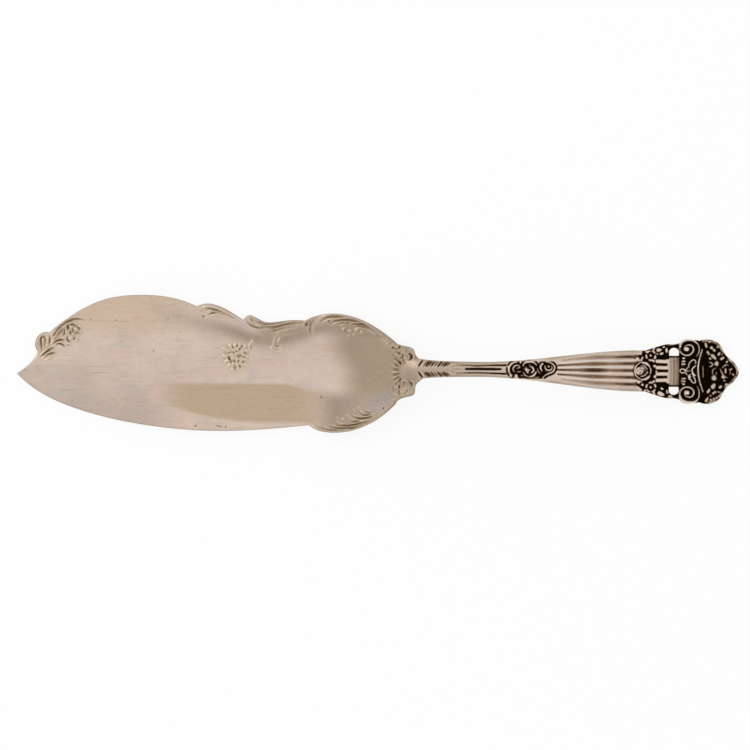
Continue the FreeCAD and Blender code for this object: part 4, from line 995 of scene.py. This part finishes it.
for px in (122.9, 123.5, 124.1):
    line([(px, -6.1), (px + 0.35, -7.2)], 0.25, -0.25, 0.7, 0.7)
for side in (1, -1):
    line([(124.8, 7.5 * side), (126.6, 7.75 * side), (128.3, 7.9 * side)], 0.5, 0.25)
print("strokes, buds and leaves of the garland:", len(garland_lines), len(buds), len(wing_leaves))

# %% Capital
hairlines = [(126.3, 0.4), (126.9, 0.3), (127.3, 0.5), (127.8, 0.35), (128.2, 0.45), (128.6, 0.6)]
for px, dark in hairlines:
    line([(px, -4.4), (px + 0.12, 0.0), (px, 4.4)], 0.42, -0.15 * dark, 1, 1, 1, dark)
sink(between(128.8, 135.0, 0.3), 0.25)
for side in (1, -1):
    line([(126.3, 4.15 * side), (127.4, 4.3 * side), (128.6, 4.15 * side)], 0.7, -0.2, 0.9, 0.9, 1, 0.9)
volute_lines = [
    ([(129.05, 7.2), (129.3, 8.3), (130.1, 9.0), (131.3, 9.35), (132.6, 9.2), (133.5, 8.7),
      (134.0, 8.2)], 1.2, 0.5),
    ([(133.8, 8.5), (134.5, 7.5), (134.7, 6.5), (134.5, 5.3), (133.8, 4.3)], 0.5, 0.45),
    ([(129.0, 7.4), (128.98, 6.3), (129.5, 5.25), (130.4, 4.7), (131.3, 4.65), (132.3, 5.1), (132.9, 5.9),
      (132.95, 6.8), (132.4, 7.5), (131.5, 7.7), (130.65, 7.4), (130.25, 6.7), (130.4, 6.0)], 0.6, 0.5),
    ([(129.1, -7.3), (129.6, -8.3), (130.9, -9.0), (132.3, -9.15), (133.6, -8.8),
      (134.2, -8.2)], 1.3, 0.5),
    ([(134.2, -8.4), (134.75, -7.2), (134.8, -6.1), (134.6, -5.1), (134.1, -4.3)], 0.5, 0.45),
    ([(129.1, -7.5), (129.1, -6.3), (129.5, -5.3), (130.3, -4.7), (131.4, -4.55), (132.5, -4.9),
      (133.15, -5.7), (133.1, -6.6), (132.5, -7.3), (131.6, -7.45), (130.8, -7.1), (130.45, -6.3),
      (130.7, -5.6)], 0.6, 0.5),
]
for points, width, height in volute_lines:
    line(points, width, height, 0.8, 0.5)
ball(131.05, 6.45, 0.72, 0.5)
ball(131.3, -6.2, 0.72, 0.5)
capital_lines = [
    ([(129.5, 3.1), (129.75, 2.6), (129.6, 1.9), (129.8, 1.5)], 0.3, 0.3),
    ([(129.5, -1.8), (129.75, -2.3), (129.5, -2.9), (129.7, -3.4)], 0.3, 0.3),
    ([(129.1, 0.15), (129.8, 0.7), (130.5, 0.5), (131.2, 1.1)], 0.45, 0.45),
    ([(129.1, 0.0), (129.8, -0.45), (130.5, -0.35), (131.1, -1.0)], 0.45, 0.45),
    ([(130.3, 0.1), (132.1, 0.2)], 0.35, 0.35),
    ([(131.6, 1.2), (131.7, 2.1), (132.3, 3.0), (133.2, 3.4), (133.7, 2.9), (133.5, 2.3)], 0.45, 0.45),
    ([(133.7, 1.7), (133.0, 1.2), (132.6, 0.2), (132.9, -0.5), (133.7, -1.2)], 0.5, 0.45),
    ([(132.6, -0.4), (133.0, -1.3), (133.6, -2.6), (133.6, -3.2), (133.1, -3.3),
      (132.5, -2.4)], 0.45, 0.45),
    ([(132.1, -0.9), (131.6, -1.5), (131.8, -2.2), (132.4, -2.4)], 0.5, 0.4),
    ([(135.6, 6.4), (135.2, 5.1), (134.7, 3.3), (134.4, 1.4), (134.4, -0.2), (134.7, -2.1), (135.2, -3.8),
      (135.9, -5.8)], 0.55, 0.55),
    ([(135.8, 1.7), (135.9, 0.1), (135.9, -1.7)], 0.34, 0.3),
]
for points, width, height in capital_lines:
    line(points, 1.2 * width, height, 0.8, 0.8)
for px, py in ((130.2, 3.8), (130.3, 2.95), (130.3, 2.1), (130.4, -2.1), (130.3, -2.9), (130.2, -3.7)):
    leaf(px, py, 0, 1.05, 0.66, 0.45)
leaf(133.2, 1.3, 60, 1.0, 0.55, 0.4)
leaf(133.2, -0.9, -60, 0.9, 0.5, 0.4)
leaf(132.1, -1.6, 90, 0.9, 0.6, 0.35)
print("strokes of the volutes and the capital:", len(volute_lines), len(capital_lines))

# %% Crown
past_end = 160.0
sink(between(134.9, past_end, 0.2), 0.3)
crown_blooms = [
    (136.7, 7.7, 105, 1.8, 0.85, 0.5), (138.4, 6.9, -36, 1.3, 1.0, 0.35), (139.2, 6.2, -36, 1.1, 0.9, 0.35),
    (140.6, 5.2, 55, 1.4, 0.85, 0.5), (137.4, 5.4, -59, 1.6, 0.8, 0.5), (139.0, 4.3, -43, 2.3, 1.15, 0.6),
    (138.0, 3.8, -40, 1.2, 0.8, 0.25), (141.6, 3.9, 33, 1.6, 0.9, 0.5), (139.9, 2.4, 80, 1.6, 1.4, 0.55),
    (142.6, 0.3, 88, 1.9, 0.65, 0.5), (141.9, -1.6, -40, 1.5, 0.9, 0.35), (139.2, -1.8, 80, 1.7, 1.6, 0.6),
    (139.0, -4.2, 60, 1.9, 1.4, 0.6), (137.6, -5.6, 60, 1.7, 0.95, 0.5), (141.1, -4.4, 40, 1.4, 0.9, 0.35),
    (142.9, -3.6, 20, 1.1, 0.7, 0.4), (137.1, -8.1, 58, 1.9, 0.8, 0.5), (137.8, 8.6, 10, 1.2, 0.6, 0.25),
    (144.3, 0.8, 30, 1.0, 0.6, 0.3), (142.3, -2.6, -10, 1.0, 0.6, 0.25), (140.2, 7.2, 30, 1.1, 0.7, 0.25),
    (138.2, -7.0, 20, 0.9, 0.6, 0.25), (143.0, 2.9, 50, 1.1, 0.7, 0.3), (144.9, -0.8, -60, 1.1, 0.6, 0.3),
    (140.6, -5.9, -30, 1.0, 0.6, 0.25), (141.5, 5.0, 20, 0.7, 0.5, 0.3),
]
for px, py, turn, length, width, height in crown_blooms:
    leaf(px, py, turn, length, width, height, 0.25, 0.2)
crown_lines = [
    ([(137.7, 2.7), (138.4, 2.5), (138.7, 2.0), (138.4, 1.6), (137.8, 1.5)], 0.6, 0.45),
    ([(141.7, 1.0), (142.1, 1.7), (142.8, 2.0), (143.5, 1.9)], 0.5, 0.5),
    ([(141.0, 0.9), (141.6, -0.5), (142.3, -1.3), (143.2, -1.7)], 0.5, 0.5),
    ([(139.8, 1.0), (139.0, 0.7), (138.7, -0.3), (139.0, -1.0)], 0.42, 0.42),
    ([(139.8, 0.1), (139.85, -1.0)], 0.36, 0.35),
    ([(138.2, 8.95), (139.2, 8.7), (140.0, 8.2)], 0.5, 0.28),
    ([(140.7, 7.6), (141.2, 6.8), (141.6, 6.0)], 0.5, 0.28),
    ([(143.2, 3.9), (144.1, 3.2), (144.7, 2.7)], 0.75, 0.4),
    ([(145.3, 2.1), (145.9, 1.1), (146.1, 0.2), (145.8, -0.8)], 0.7, 0.4),
    ([(145.0, -2.1), (144.2, -3.1), (143.3, -4.2), (142.2, -5.8)], 0.55, 0.28),
    ([(143.4, 0.9), (144.1, 0.0), (143.7, -0.9)], 0.35, 0.25),
]
carve(crown_lines, end=0.6)
seeds = [
    (138.3, -8.2), (139.2, -7.9), (140.0, -7.6), (140.7, -7.1), (141.4, -6.5), (139.0, -6.3), (139.6, -5.9),
]
for px, py in seeds:
    ball(px, py, 0.42, 0.42)
print("highest ornament", round(raised.max(), 2), "mm")

# %% [markdown]
# ## One closed mesh
# The top takes the carving; the underside is plain and coarse, because a struck piece
# is smooth behind.  Both share the outline's points, so a strip of wall closes the mesh
# all round and inside the piercings.  A closed mesh can be weighed and printed.

# %% Top with its carving
relief = (raised + sunk) * smooth((rim_gap + 0.05) / 0.3)
highest = mm_per_metre * frame_high.z
top_height = np.minimum(top_height + relief, highest)
print("top after carving from", round(top_height.min(), 2), "to", round(top_height.max(), 2), "mm")

# %% Underside
fine_from, blade_spacing, handle_spacing = heel_x - 8, 1.6, 0.5
blade_grid = hexagonal(tip_x, heel_x, plan_low, plan_high, blade_spacing)
handle_grid = hexagonal(fine_from, end_x, -10, 10, handle_spacing)
coarse = np.concatenate([blade_grid[blade_grid[:, 0] < fine_from], handle_grid])
coarse = coarse[inside(coarse, outline)]
coarse_gap = distance_to_rim(coarse)[0]
coarse = coarse[coarse_gap > np.where(coarse[:, 0] < fine_from, 1.2, 0.65)]
under_plan, under_faces = triangles(np.concatenate([rows_along(outline, [0.15, 0.42]), coarse]))
under_gap = distance_to_rim(under_plan)[0]
under_height = plain_under(*under_plan.T) + rim_rounding(under_plan[:, 0], under_gap)
print("underside:", len(under_plan), "points,", len(under_faces), "triangles")


# %% Walls
def open_edges(faces):
    """Directed edges that only one triangle has."""
    edges = {}
    for a, b, c in faces.tolist():
        for edge in ((a, b), (b, c), (c, a)):
            edges[edge] = True
    return [edge for edge in edges if edge[::-1] not in edges]


def anticlockwise(plan, faces):
    a, b, c = (plan[faces[:, k]] for k in range(3))
    turned = (b[:, 0] - a[:, 0]) * (c[:, 1] - a[:, 1]) < (b[:, 1] - a[:, 1]) * (c[:, 0] - a[:, 0])
    faces = faces.copy()
    faces[turned] = faces[turned][:, ::-1]
    return faces


top_faces = anticlockwise(top_plan, top_faces)
under_faces = anticlockwise(under_plan, under_faces)
point_below = {tuple(np.round(p, 4)): len(top_plan) + i for i, p in enumerate(under_plan)}
walls = []
for a, b in open_edges(top_faces):
    low_a, low_b = (point_below[tuple(np.round(top_plan[i], 4))] for i in (a, b))
    walls += [(b, a, low_a), (b, low_a, low_b)]
all_faces = np.concatenate([top_faces, under_faces[:, ::-1] + len(top_plan), np.array(walls)])
all_points = np.concatenate([
    np.column_stack([top_plan, top_height]),
    np.column_stack([under_plan, under_height]),
])
print("triangles:", len(all_faces), "open edges:", len(open_edges(all_faces)))
thin = top_height[: len(rim_points)] - under_height[: len(rim_points)]
print("wall height from", round(thin.min(), 2), "to", round(thin.max(), 2), "mm")

# %% The mesh
mesh = bpy.data.meshes.new("silver_knife")
mesh.vertices.add(len(all_points))
mesh.vertices.foreach_set("co", (all_points / mm_per_metre).ravel())
mesh.loops.add(3 * len(all_faces))
mesh.loops.foreach_set("vertex_index", all_faces.ravel())
mesh.polygons.add(len(all_faces))
mesh.polygons.foreach_set("loop_start", np.arange(0, 3 * len(all_faces), 3))
mesh.update(calc_edges=True)
mesh.validate()
mesh.shade_smooth()
knife = bpy.data.objects.new("silver_knife", mesh)
bpy.context.scene.collection.objects.link(knife)
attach(knife, "root")
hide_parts("jelly_knife")
print("points of the mesh:", len(mesh.vertices))

# %% [markdown]
# ## Where the black sits
# Old silver is polished on what stands up and keeps its black sulphide in what lies
# low.  So the mesh itself says how dark each point is: the ground of the dense pattern
# by its depth, and everywhere the hollows, found by comparing the relief with its own
# blurred copy.  Painted shade along the fold of the back, on the blade's rounded rim and
# on the sloping sides of the shaft is marked too.  The marks are stored on the points and
# read by the material.

# %% Hollows of the relief
edges = np.concatenate([top_faces[:, [0, 1]], top_faces[:, [1, 2]], top_faces[:, [2, 0]]])
count = np.bincount(edges.ravel(), minlength=len(top_plan))


def blurred(values, rounds):
    for _ in range(rounds):
        total = np.bincount(edges[:, 0], values[edges[:, 1]], len(values))
        total += np.bincount(edges[:, 1], values[edges[:, 0]], len(values))
        values = total / np.maximum(count, 1)
    return values


difference = blurred(relief, 14) - relief
hollow, crest = np.clip(difference / 0.12, 0, 1), np.clip(-difference / 0.12, 0, 1)
handle = smooth((x - heel_x + 2) / 3)
worked = np.clip(blurred(np.minimum(1, np.abs(relief) / 0.08), 8) * 1.4, 0, 1) * (1 - handle)
worked = np.maximum(worked, smooth((4.4 - np.hypot(x - 0.2, y - 3.1)) / 1.2))
among_flutes = between(column_x - 1, garland_x - 2.5, 2)
near_tip = 0.3 * smooth((-42 - x) / 4)
oxide = hollow * mix(0.28, 0.75, np.maximum(handle, near_tip)) * (1 - 0.6 * among_flutes)
oxide = np.maximum(oxide, black)
crown_rim = smooth((0.85 - rim_gap) / 0.35) * between(135.5, 150) * smooth(np.sin(1.9 * y + 0.9 * x) + 0.7)
oxide = oxide * (1 - 0.92 * np.maximum(smooth((raised - 0.05) / 0.14), 0.85 * crown_rim))
oxide = np.maximum(oxide, mix(0.72, 1.0, handle) * stained)
print("share of dark points:", round(float((oxide > 0.5).mean()), 2))

# %% Painted shade on the fold along the back, on the blade's rim and on the shaft's sides
# Painted shade along the fold of the back and on the turned-up strip behind it.
fold_line = [
    (-23, 16.6), (-16.9, 14.2), (-12.3, 12.8), (-5.4, 11.6), (-1.5, 10.5), (3.5, 8.8), (8.5, 7.9), (13, 8.0),
    (18.1, 9.3), (22, 10.8), (25.7, 11.8), (33.3, 11.8),
]
fold_shade_strength = np.interp(x, [-23, -12, -5, 2, 11, 19, 26, 34], [0.2, 0.45, 0.75, 0.95, 1.0, 0.9, 0.9, 0.4])
fold = np.exp(-(distance_to_line(x, y, np.array(fold_line)) / 2.0) ** 2) * fold_shade_strength
fold_y = np.interp(x, *np.array(fold_line).T)
shade_behind_fold = smooth((y - fold_y) / 1.5) * smooth((x - 2) / 8) * smooth((26 - x) / 5)
fold = np.maximum(fold, 0.85 * shade_behind_fold)
# Painted shade on the blade's rounded rim.
rim = smooth((0.3 - rim_gap) / 0.2) * (1 - handle)
# Painted shade on the sloping sides of the stem and the column.
column_or_stem = np.maximum(between(90, 117, 4), between(62, 80, 3))
margin = smooth((np.abs(y) / half_width(x) - 0.76) / 0.1) * column_or_stem
# fold, rim and margin carry painted shade; crest carries polish and a painted highlight.
marks = {"oxide": oxide, "crest": crest, "worked": worked, "fold": fold, "rim": rim, "margin": margin}
for name, values in marks.items():
    attribute = mesh.attributes.new(name, "FLOAT", "POINT")
    whole = np.zeros(len(all_points))
    whole[: len(values)] = blurred(values, 1)
    attribute.data.foreach_set("value", whole)
print("marks on the points:", ", ".join(marks))

# %% [markdown]
# ## A small language for shaders
# Node trees are hard to read as lists of links.  This wrapper lets shader maths be
# written as Python expressions: adding two sockets makes the Add node behind the scenes.
# Two more helpers end a tree and tell which rays should meet a white room.

# %% Sockets as numbers
class Value:
    """An output socket that can be added, multiplied and compared."""

    def __init__(self, tree, socket):
        self.tree, self.socket = tree, socket

    def node(self, kind, settings=None, **inputs):
        """Makes a node: settings first, then values or links for its inputs."""
        made = self.tree.nodes.new(kind)
        for name, value in (settings or {}).items():
            setattr(made, name, value)
        for name, value in inputs.items():
            key = int(name[1:]) if name[0] == "i" and name[1:].isdigit() else name.replace("_", " ")
            if isinstance(value, Value):
                self.tree.links.new(value.socket, made.inputs[key])
            else:
                made.inputs[key].default_value = value
        return made

    def out(self, kind, settings=None, output=0, **inputs):
        return Value(self.tree, self.node(kind, settings, **inputs).outputs[output])

    def math(self, operation, *others, clamp=False):
        inputs = {f"i{k}": value for k, value in enumerate((self, *others))}
        return self.out("ShaderNodeMath", {"operation": operation, "use_clamp": clamp}, **inputs)

    def __add__(self, other):
        return self.math("ADD", other)

    def __mul__(self, other):
        return self.math("MULTIPLY", other)

    def __sub__(self, other):
        return self.math("SUBTRACT", other)

    def __truediv__(self, other):
        return self.math("DIVIDE", other)

    def __rsub__(self, other):
        return (self * -1.0) + other

    __radd__, __rmul__ = __add__, __mul__

    def clamp(self):
        return self.math("ADD", 0.0, clamp=True)

    def step(self, low, high):
        """0 below low, 1 above high, smooth between."""
        settings = {"interpolation_type": "SMOOTHSTEP"}
        return self.out("ShaderNodeMapRange", settings, i0=self, i1=low, i2=high)

    def tint(self, a, b):
        """From colour a to colour b by this value."""
        return self.out("ShaderNodeMix", {"data_type": "RGBA"}, 2, i0=self, i6=a, i7=b)

    def noise(self, scale, detail, roughness=0.5, distortion=0.0):
        inputs = dict(Vector=self, Scale=scale, Detail=detail, Roughness=roughness, Distortion=distortion)
        return self.out("ShaderNodeTexNoise", **inputs)

    def scaled(self, sx, sy, sz, shift=(0.0, 0.0, 0.0)):
        return self.out("ShaderNodeMapping", Vector=self, Scale=(sx, sy, sz), Location=shift)


def colour(red, green, blue):
    """A colour as it looks on a screen, in parts of 255."""
    def light(part):
        part = part / 255
        return part / 12.92 if part <= 0.04045 else ((part + 0.055) / 1.055) ** 2.4
    return (light(red), light(green), light(blue), 1.0)


def white_rays(tree):
    """1 for the camera's rays, for mirrored ones and for those through glass."""
    rays = tree.nodes.new("ShaderNodeLightPath")
    views = ("Is Camera Ray", "Is Glossy Ray", "Is Transmission Ray")
    seen, mirror, through = (Value(tree, rays.outputs[name]) for name in views)
    return (seen + mirror + through).clamp()


def close_tree(tree, kind, last):
    end = tree.nodes.new(kind)
    tree.links.new(last.outputs[0], end.inputs["Surface"])


print("a mid grey of 128 is", round(colour(128, 128, 128)[0], 3), "in the shader")

# %% [markdown]
# ## Old silver
# The blade reads as a warm, slightly pink grey, because tarnish is a thin brown film
# over bright metal.  Over it lie a painted tan reflection band across the blade, painted
# shade along the folded back and on the heel, a painted cool reflection on the heel's
# lower edge, cooler and warmer tones near the tip, cloudy blotches, fine scratches along
# the blade and small pits.  Each zone is a mask between 0 and 1, made from the place on
# the knife and bent by a noise, and laid over the one before.  Sulphide in the hollows is
# nearly black and rough; crests are smoother, and brighter partly by polish and partly by
# a painted highlight.  The blade's rim and the shaft's sides get painted shade.

# %% The material
silver = bpy.data.materials.new("old_silver")
silver.use_nodes = True
tree = silver.node_tree
tree.nodes.clear()
metres = Value(tree, tree.nodes.new("ShaderNodeTexCoord").outputs["Object"])
here = metres.scaled(mm_per_metre, mm_per_metre, mm_per_metre)
axes = here.node("ShaderNodeSeparateXYZ", Vector=here)
along, across = Value(tree, axes.outputs[0]), Value(tree, axes.outputs[1])
oxide_here, crest_polish_and_highlight, worked_here, fold_shade_here, rim_shade_here, side_shade_here = (
    here.out("ShaderNodeAttribute", {"attribute_name": name}, "Fac") for name in marks
)
print("marks that the material reads:", len(marks))

# %% Clouds, streaks and grain
cloud = here.noise(0.045, 4.0, 0.6)
patch = here.scaled(0.7, 1.0, 1.0, (7.0, 3.0, 0.0)).noise(0.16, 6.0, 0.7, 0.3)
speckle = here.noise(0.9, 3.0, 0.7)
mottle = here.noise(1.3, 4.0, 0.8)
streak = here.scaled(0.1, 1.1, 1.0).noise(1.0, 3.0, 0.65)
grain = here.noise(6.0, 2.0, 0.6)
border_bend = 5.0
bend = (here.noise(0.06, 3.0) - 0.5) * border_bend
print("the zones' borders bend by up to", border_bend / 2, "mm")

# %% The painted reflection band and the painted shade on the heel
# A tan reflection band painted across the blade.
below_line = (along.step(14.0, 23.0) * -2.2 + bend * 0.15 - 4.7 - across).step(-0.5, 0.7)
band_edge_shift = ((11.0 - along) / 31.0).math("MAXIMUM", 0.0).math("POWER", 2.5) * 5.2
above_edge = (across + 16.6 - band_edge_shift + bend * 0.2).step(0.0, 1.3)
band = below_line * above_edge * (along + bend).step(-26.0, -13.0) * (along + bend * 0.4).step(30.0, 19.0)
# Painted shade on the rising heel: on its lower side and at its end towards the stem.
lower_heel_shade = (-4.9 - across + bend * 0.4 - along.step(14.0, 26.0) * 2.4).step(-2.0, 2.5)
lower_heel_shade = lower_heel_shade * (along + bend * 0.4).step(19.0, 30.0) * along.step(47.0, 44.0)
slope = across.math("MINIMUM", 6.0).math("MAXIMUM", -1.0) * 0.55
heel_shade = (along + slope + bend * 0.4).step(26.8, 37.2) * along.step(54.0, 50.0)
print("nodes for the band and the heel, with all before:", len(tree.nodes))

# %% Cooler and warmer ends, a painted reflection on the heel's lower edge, stem, neck and crown
cool = (across - along * 0.25).step(6.0, -6.0) * along.step(-12.0, -30.0)
cool = (cool + along.step(-36.0, -46.0) * across.step(3.0, -2.0) * 0.6).clamp()
warm = (across + bend * 0.6).step(7.0, 13.0) * along.step(-8.0, -24.0) * along.step(-50.0, -40.0)
# A cool reflection painted on the turned-up lower edge of the heel.
lip_x, lip_y = along * 0.8 + across * 0.6 - 27.9, across * 0.8 - along * 0.6 + 33.2
lip_reflection = (lip_x * lip_x * 0.2 + lip_y * lip_y).step(11.0, -2.0)
stem = along.step(46.0, 50.0) * along.step(88.0, 70.0)
neck = along.step(125.3, 126.2) * along.step(129.2, 128.6)
crown = along.step(134.5, 136.0)
print("nodes for the zones, with all before:", len(tree.nodes))

# %% Hairlines
hairs = here.scaled(0.03, 1.0, 1.0, (0.0, 9.0, 0.0)).noise(4.5, 1.0, 0.5).step(0.67, 0.71)
slant = here.out("ShaderNodeMapping", Vector=here, Rotation=(0, 0, 0.75), Scale=(0.035, 1.0, 1.0))
slant_hairs = slant.noise(3.2, 1.0, 0.5).step(0.7, 0.73) * cloud.step(0.5, 0.62)
print("nodes for the hairlines, with all before:", len(tree.nodes))

# %% The tones, one over the other
# Painted shade on the shaft's sloping sides, with one tone for each side.
side_shade_tone = across.step(-1.0, 1.0).tint(colour(166, 149, 136), colour(168, 149, 122))
worked_tone = along.step(43.0, 46.0).tint(colour(184, 166, 137), colour(166, 147, 123))
tones = [
    (cool * 0.8, colour(182, 166, 155)),
    (warm * 0.7, colour(202, 178, 153)),
    (patch.step(0.5, 0.7) * 0.4, colour(178, 170, 166)),
    (patch.step(0.46, 0.34) * 0.6, colour(212, 182, 166)),
    # Painted shade on the heel and on its lower side.
    (heel_shade * 0.95, colour(152, 135, 115)),
    (lower_heel_shade * 0.95, colour(155, 138, 123)),
    # Painted tan reflection band across the blade.
    (band * 0.95, colour(185, 163, 137)),
    # Painted shade along the fold of the back.
    (fold_shade_here * 0.95, colour(152, 136, 118)),
    (worked_here * along.step(-43.0, -46.0) * 0.5, colour(168, 148, 122)),
    # Painted cool reflection on the heel's lower edge.
    (lip_reflection * 0.8, colour(142, 133, 128)),
    (stem * 0.8, colour(162, 145, 126)),
    ((hairs + slant_hairs).clamp() * 0.35, colour(140, 120, 104)),
    (streak.step(0.5, 0.75) * 0.22, colour(170, 150, 134)),
    (mottle.step(0.52, 0.8) * 0.3, colour(150, 132, 118)),
    (mottle.step(0.45, 0.25) * 0.3, colour(222, 204, 190)),
    # Painted shade on the shaft's sloping sides.
    (side_shade_here * 0.75, side_shade_tone),
    (neck * 0.7, colour(158, 137, 122)),
    (crown * (0.35 + speckle * 0.5), colour(150, 138, 120)),
    (worked_here * 0.6, worked_tone),
    # Brighter crests: partly polish, partly a painted highlight.
    (crest_polish_and_highlight * (0.5 - worked_here * 0.25 - crown * 0.2), colour(232, 218, 205)),
    # Painted shade on the blade's rounded rim.
    (rim_shade_here * 0.5, colour(140, 122, 106)),
]
plain = cloud.step(0.35, 0.65).tint(colour(202, 183, 169), colour(211, 193, 178))
for share, tone in tones:
    plain = share.tint(plain, tone)
print("tones laid over the silver:", len(tones))

# %% Pits and sulphide
pits = here.out(
    "ShaderNodeTexVoronoi", {"feature": "F1"}, "Distance", Vector=here, Scale=0.16, Randomness=1.0)
pit = pits.step(0.09, 0.03) * cloud.step(0.42, 0.58)
plain = (pit * 0.6).tint(plain, colour(120, 96, 80))
brown = speckle.step(0.35, 0.65).tint(colour(112, 86, 64), colour(132, 106, 82))
soot = speckle.step(0.45, 0.75).tint(colour(14, 8, 4), colour(36, 26, 16))
tarnish = (oxide_here * (0.8 + grain * 0.4)).clamp()
surface_colour = tarnish.step(0.08, 0.5).tint(plain, brown)
surface_colour = tarnish.step(0.45, 0.85).tint(surface_colour, soot)
print("nodes for pits and sulphide, with all before:", len(tree.nodes))

# %% Scratches and the shader
scratch = here.scaled(0.05, 1.6, 1.0).noise(2.2, 2.0, 0.55)
scratch_other = here.scaled(0.9, 0.1, 1.0, (5.0, 1.0, 0.0)).noise(1.4, 2.0, 0.5)
bumps = speckle * 0.02 + grain * 0.004 + scratch.step(0.6, 0.66) * 0.012 - pit * 0.03
rough = 0.3 + cloud * 0.12 + speckle.step(0.5, 0.8) * 0.1 - crest_polish_and_highlight * 0.08 + tarnish * 0.35
rough = rough + scratch_other.step(0.62, 0.7) * 0.06
bump = here.node("ShaderNodeBump", Strength=0.5, Distance=0.001, Height=bumps)
shader = here.node(
    "ShaderNodeBsdfPrincipled", Base_Color=surface_colour, Roughness=rough.clamp(),
    Metallic=1.0, Normal=Value(tree, bump.outputs[0]),
)
close_tree(tree, "ShaderNodeOutputMaterial", shader)
mesh.materials.append(silver)
print("nodes in the silver:", len(tree.nodes))

# %% [markdown]
# ## Floor, world and lamps
# Silver shows what stands round it.  The paper glows almost white for the camera and in
# the metal, and is plain matte paper for all other light, so it keeps the knife's shadow.
# The room is white for the same rays and a touch darker for the rest.  One weak, low lamp
# at the upper left gives the folds and the carving their light and shade.

# %% Floor
bpy.ops.mesh.primitive_plane_add(size=6.0, location=(0.04, 0.0, 0.0))
floor = bpy.context.object
floor.name = "floor"
paper = bpy.data.materials.new("white_paper")
paper.use_nodes = True
sheet = paper.node_tree
sheet.nodes.clear()
glow_share = 0.86
fibre = Value(sheet, sheet.nodes.new("ShaderNodeTexCoord").outputs["Object"]).noise(900.0, 3.0, 0.6)
off_white = fibre.tint(colour(250, 250, 250), colour(254, 254, 254))
matte = off_white.out("ShaderNodeBsdfDiffuse", Color=off_white)
bright = off_white.out("ShaderNodeEmission", Color=(1, 1, 1, 1), Strength=1.0)
glow = white_rays(sheet) * glow_share
close_tree(sheet, "ShaderNodeOutputMaterial", glow.node("ShaderNodeMixShader", i0=glow, i1=matte, i2=bright))
floor.data.materials.append(paper)
print("the floor glows by", glow_share)

# %% World
world = bpy.data.worlds.new("room")
bpy.context.scene.world = world
world.use_nodes = True
room = world.node_tree
room.nodes.clear()
room_strength = 0.9
share = white_rays(room)
lit = share.out("ShaderNodeBackground", Color=(1, 1, 1, 1), Strength=room_strength)
white = share.out("ShaderNodeBackground", Color=(1, 1, 1, 1), Strength=1.0)
close_tree(room, "ShaderNodeOutputWorld", share.node("ShaderNodeMixShader", i0=share, i1=lit, i2=white))
print("the room lights by", room_strength)


# %% The lamp
def lamp(name, place, target, size, power):
    data = bpy.data.lights.new(name, "AREA")
    data.shape, data.size, data.energy = "DISK", size, power
    made = bpy.data.objects.new(name, data)
    made.location = place
    made.rotation_euler = (Vector(target) - Vector(place)).to_track_quat("-Z", "Y").to_euler()
    bpy.context.scene.collection.objects.link(made)


lamp("key", (-0.75, 0.35, 0.65), (0.03, 0, 0), 0.5, 1.3)

# %% [markdown]
# ## Camera
# The photograph looks straight down from far away, with the handle almost level.  The
# lens follows from the distance and from how wide the view is at the height of the blade.

# %% Camera
camera = bpy.data.cameras.new("camera")
camera.sensor_width = 36.0
distance, view_width, blade_level, handle_slant = 1.2, 0.2179, 0.004, 0.55
camera.lens = camera.sensor_width * (distance - blade_level) / view_width
viewer = bpy.data.objects.new("camera", camera)
viewer.location = (0.04070, -0.00190, distance)
viewer.rotation_euler = (0.0, 0.0, math.radians(handle_slant))
bpy.context.scene.collection.objects.link(viewer)
bpy.context.scene.camera = viewer
bpy.context.scene.view_settings.view_transform = "Standard"
print("lens:", round(camera.lens, 1), "mm")
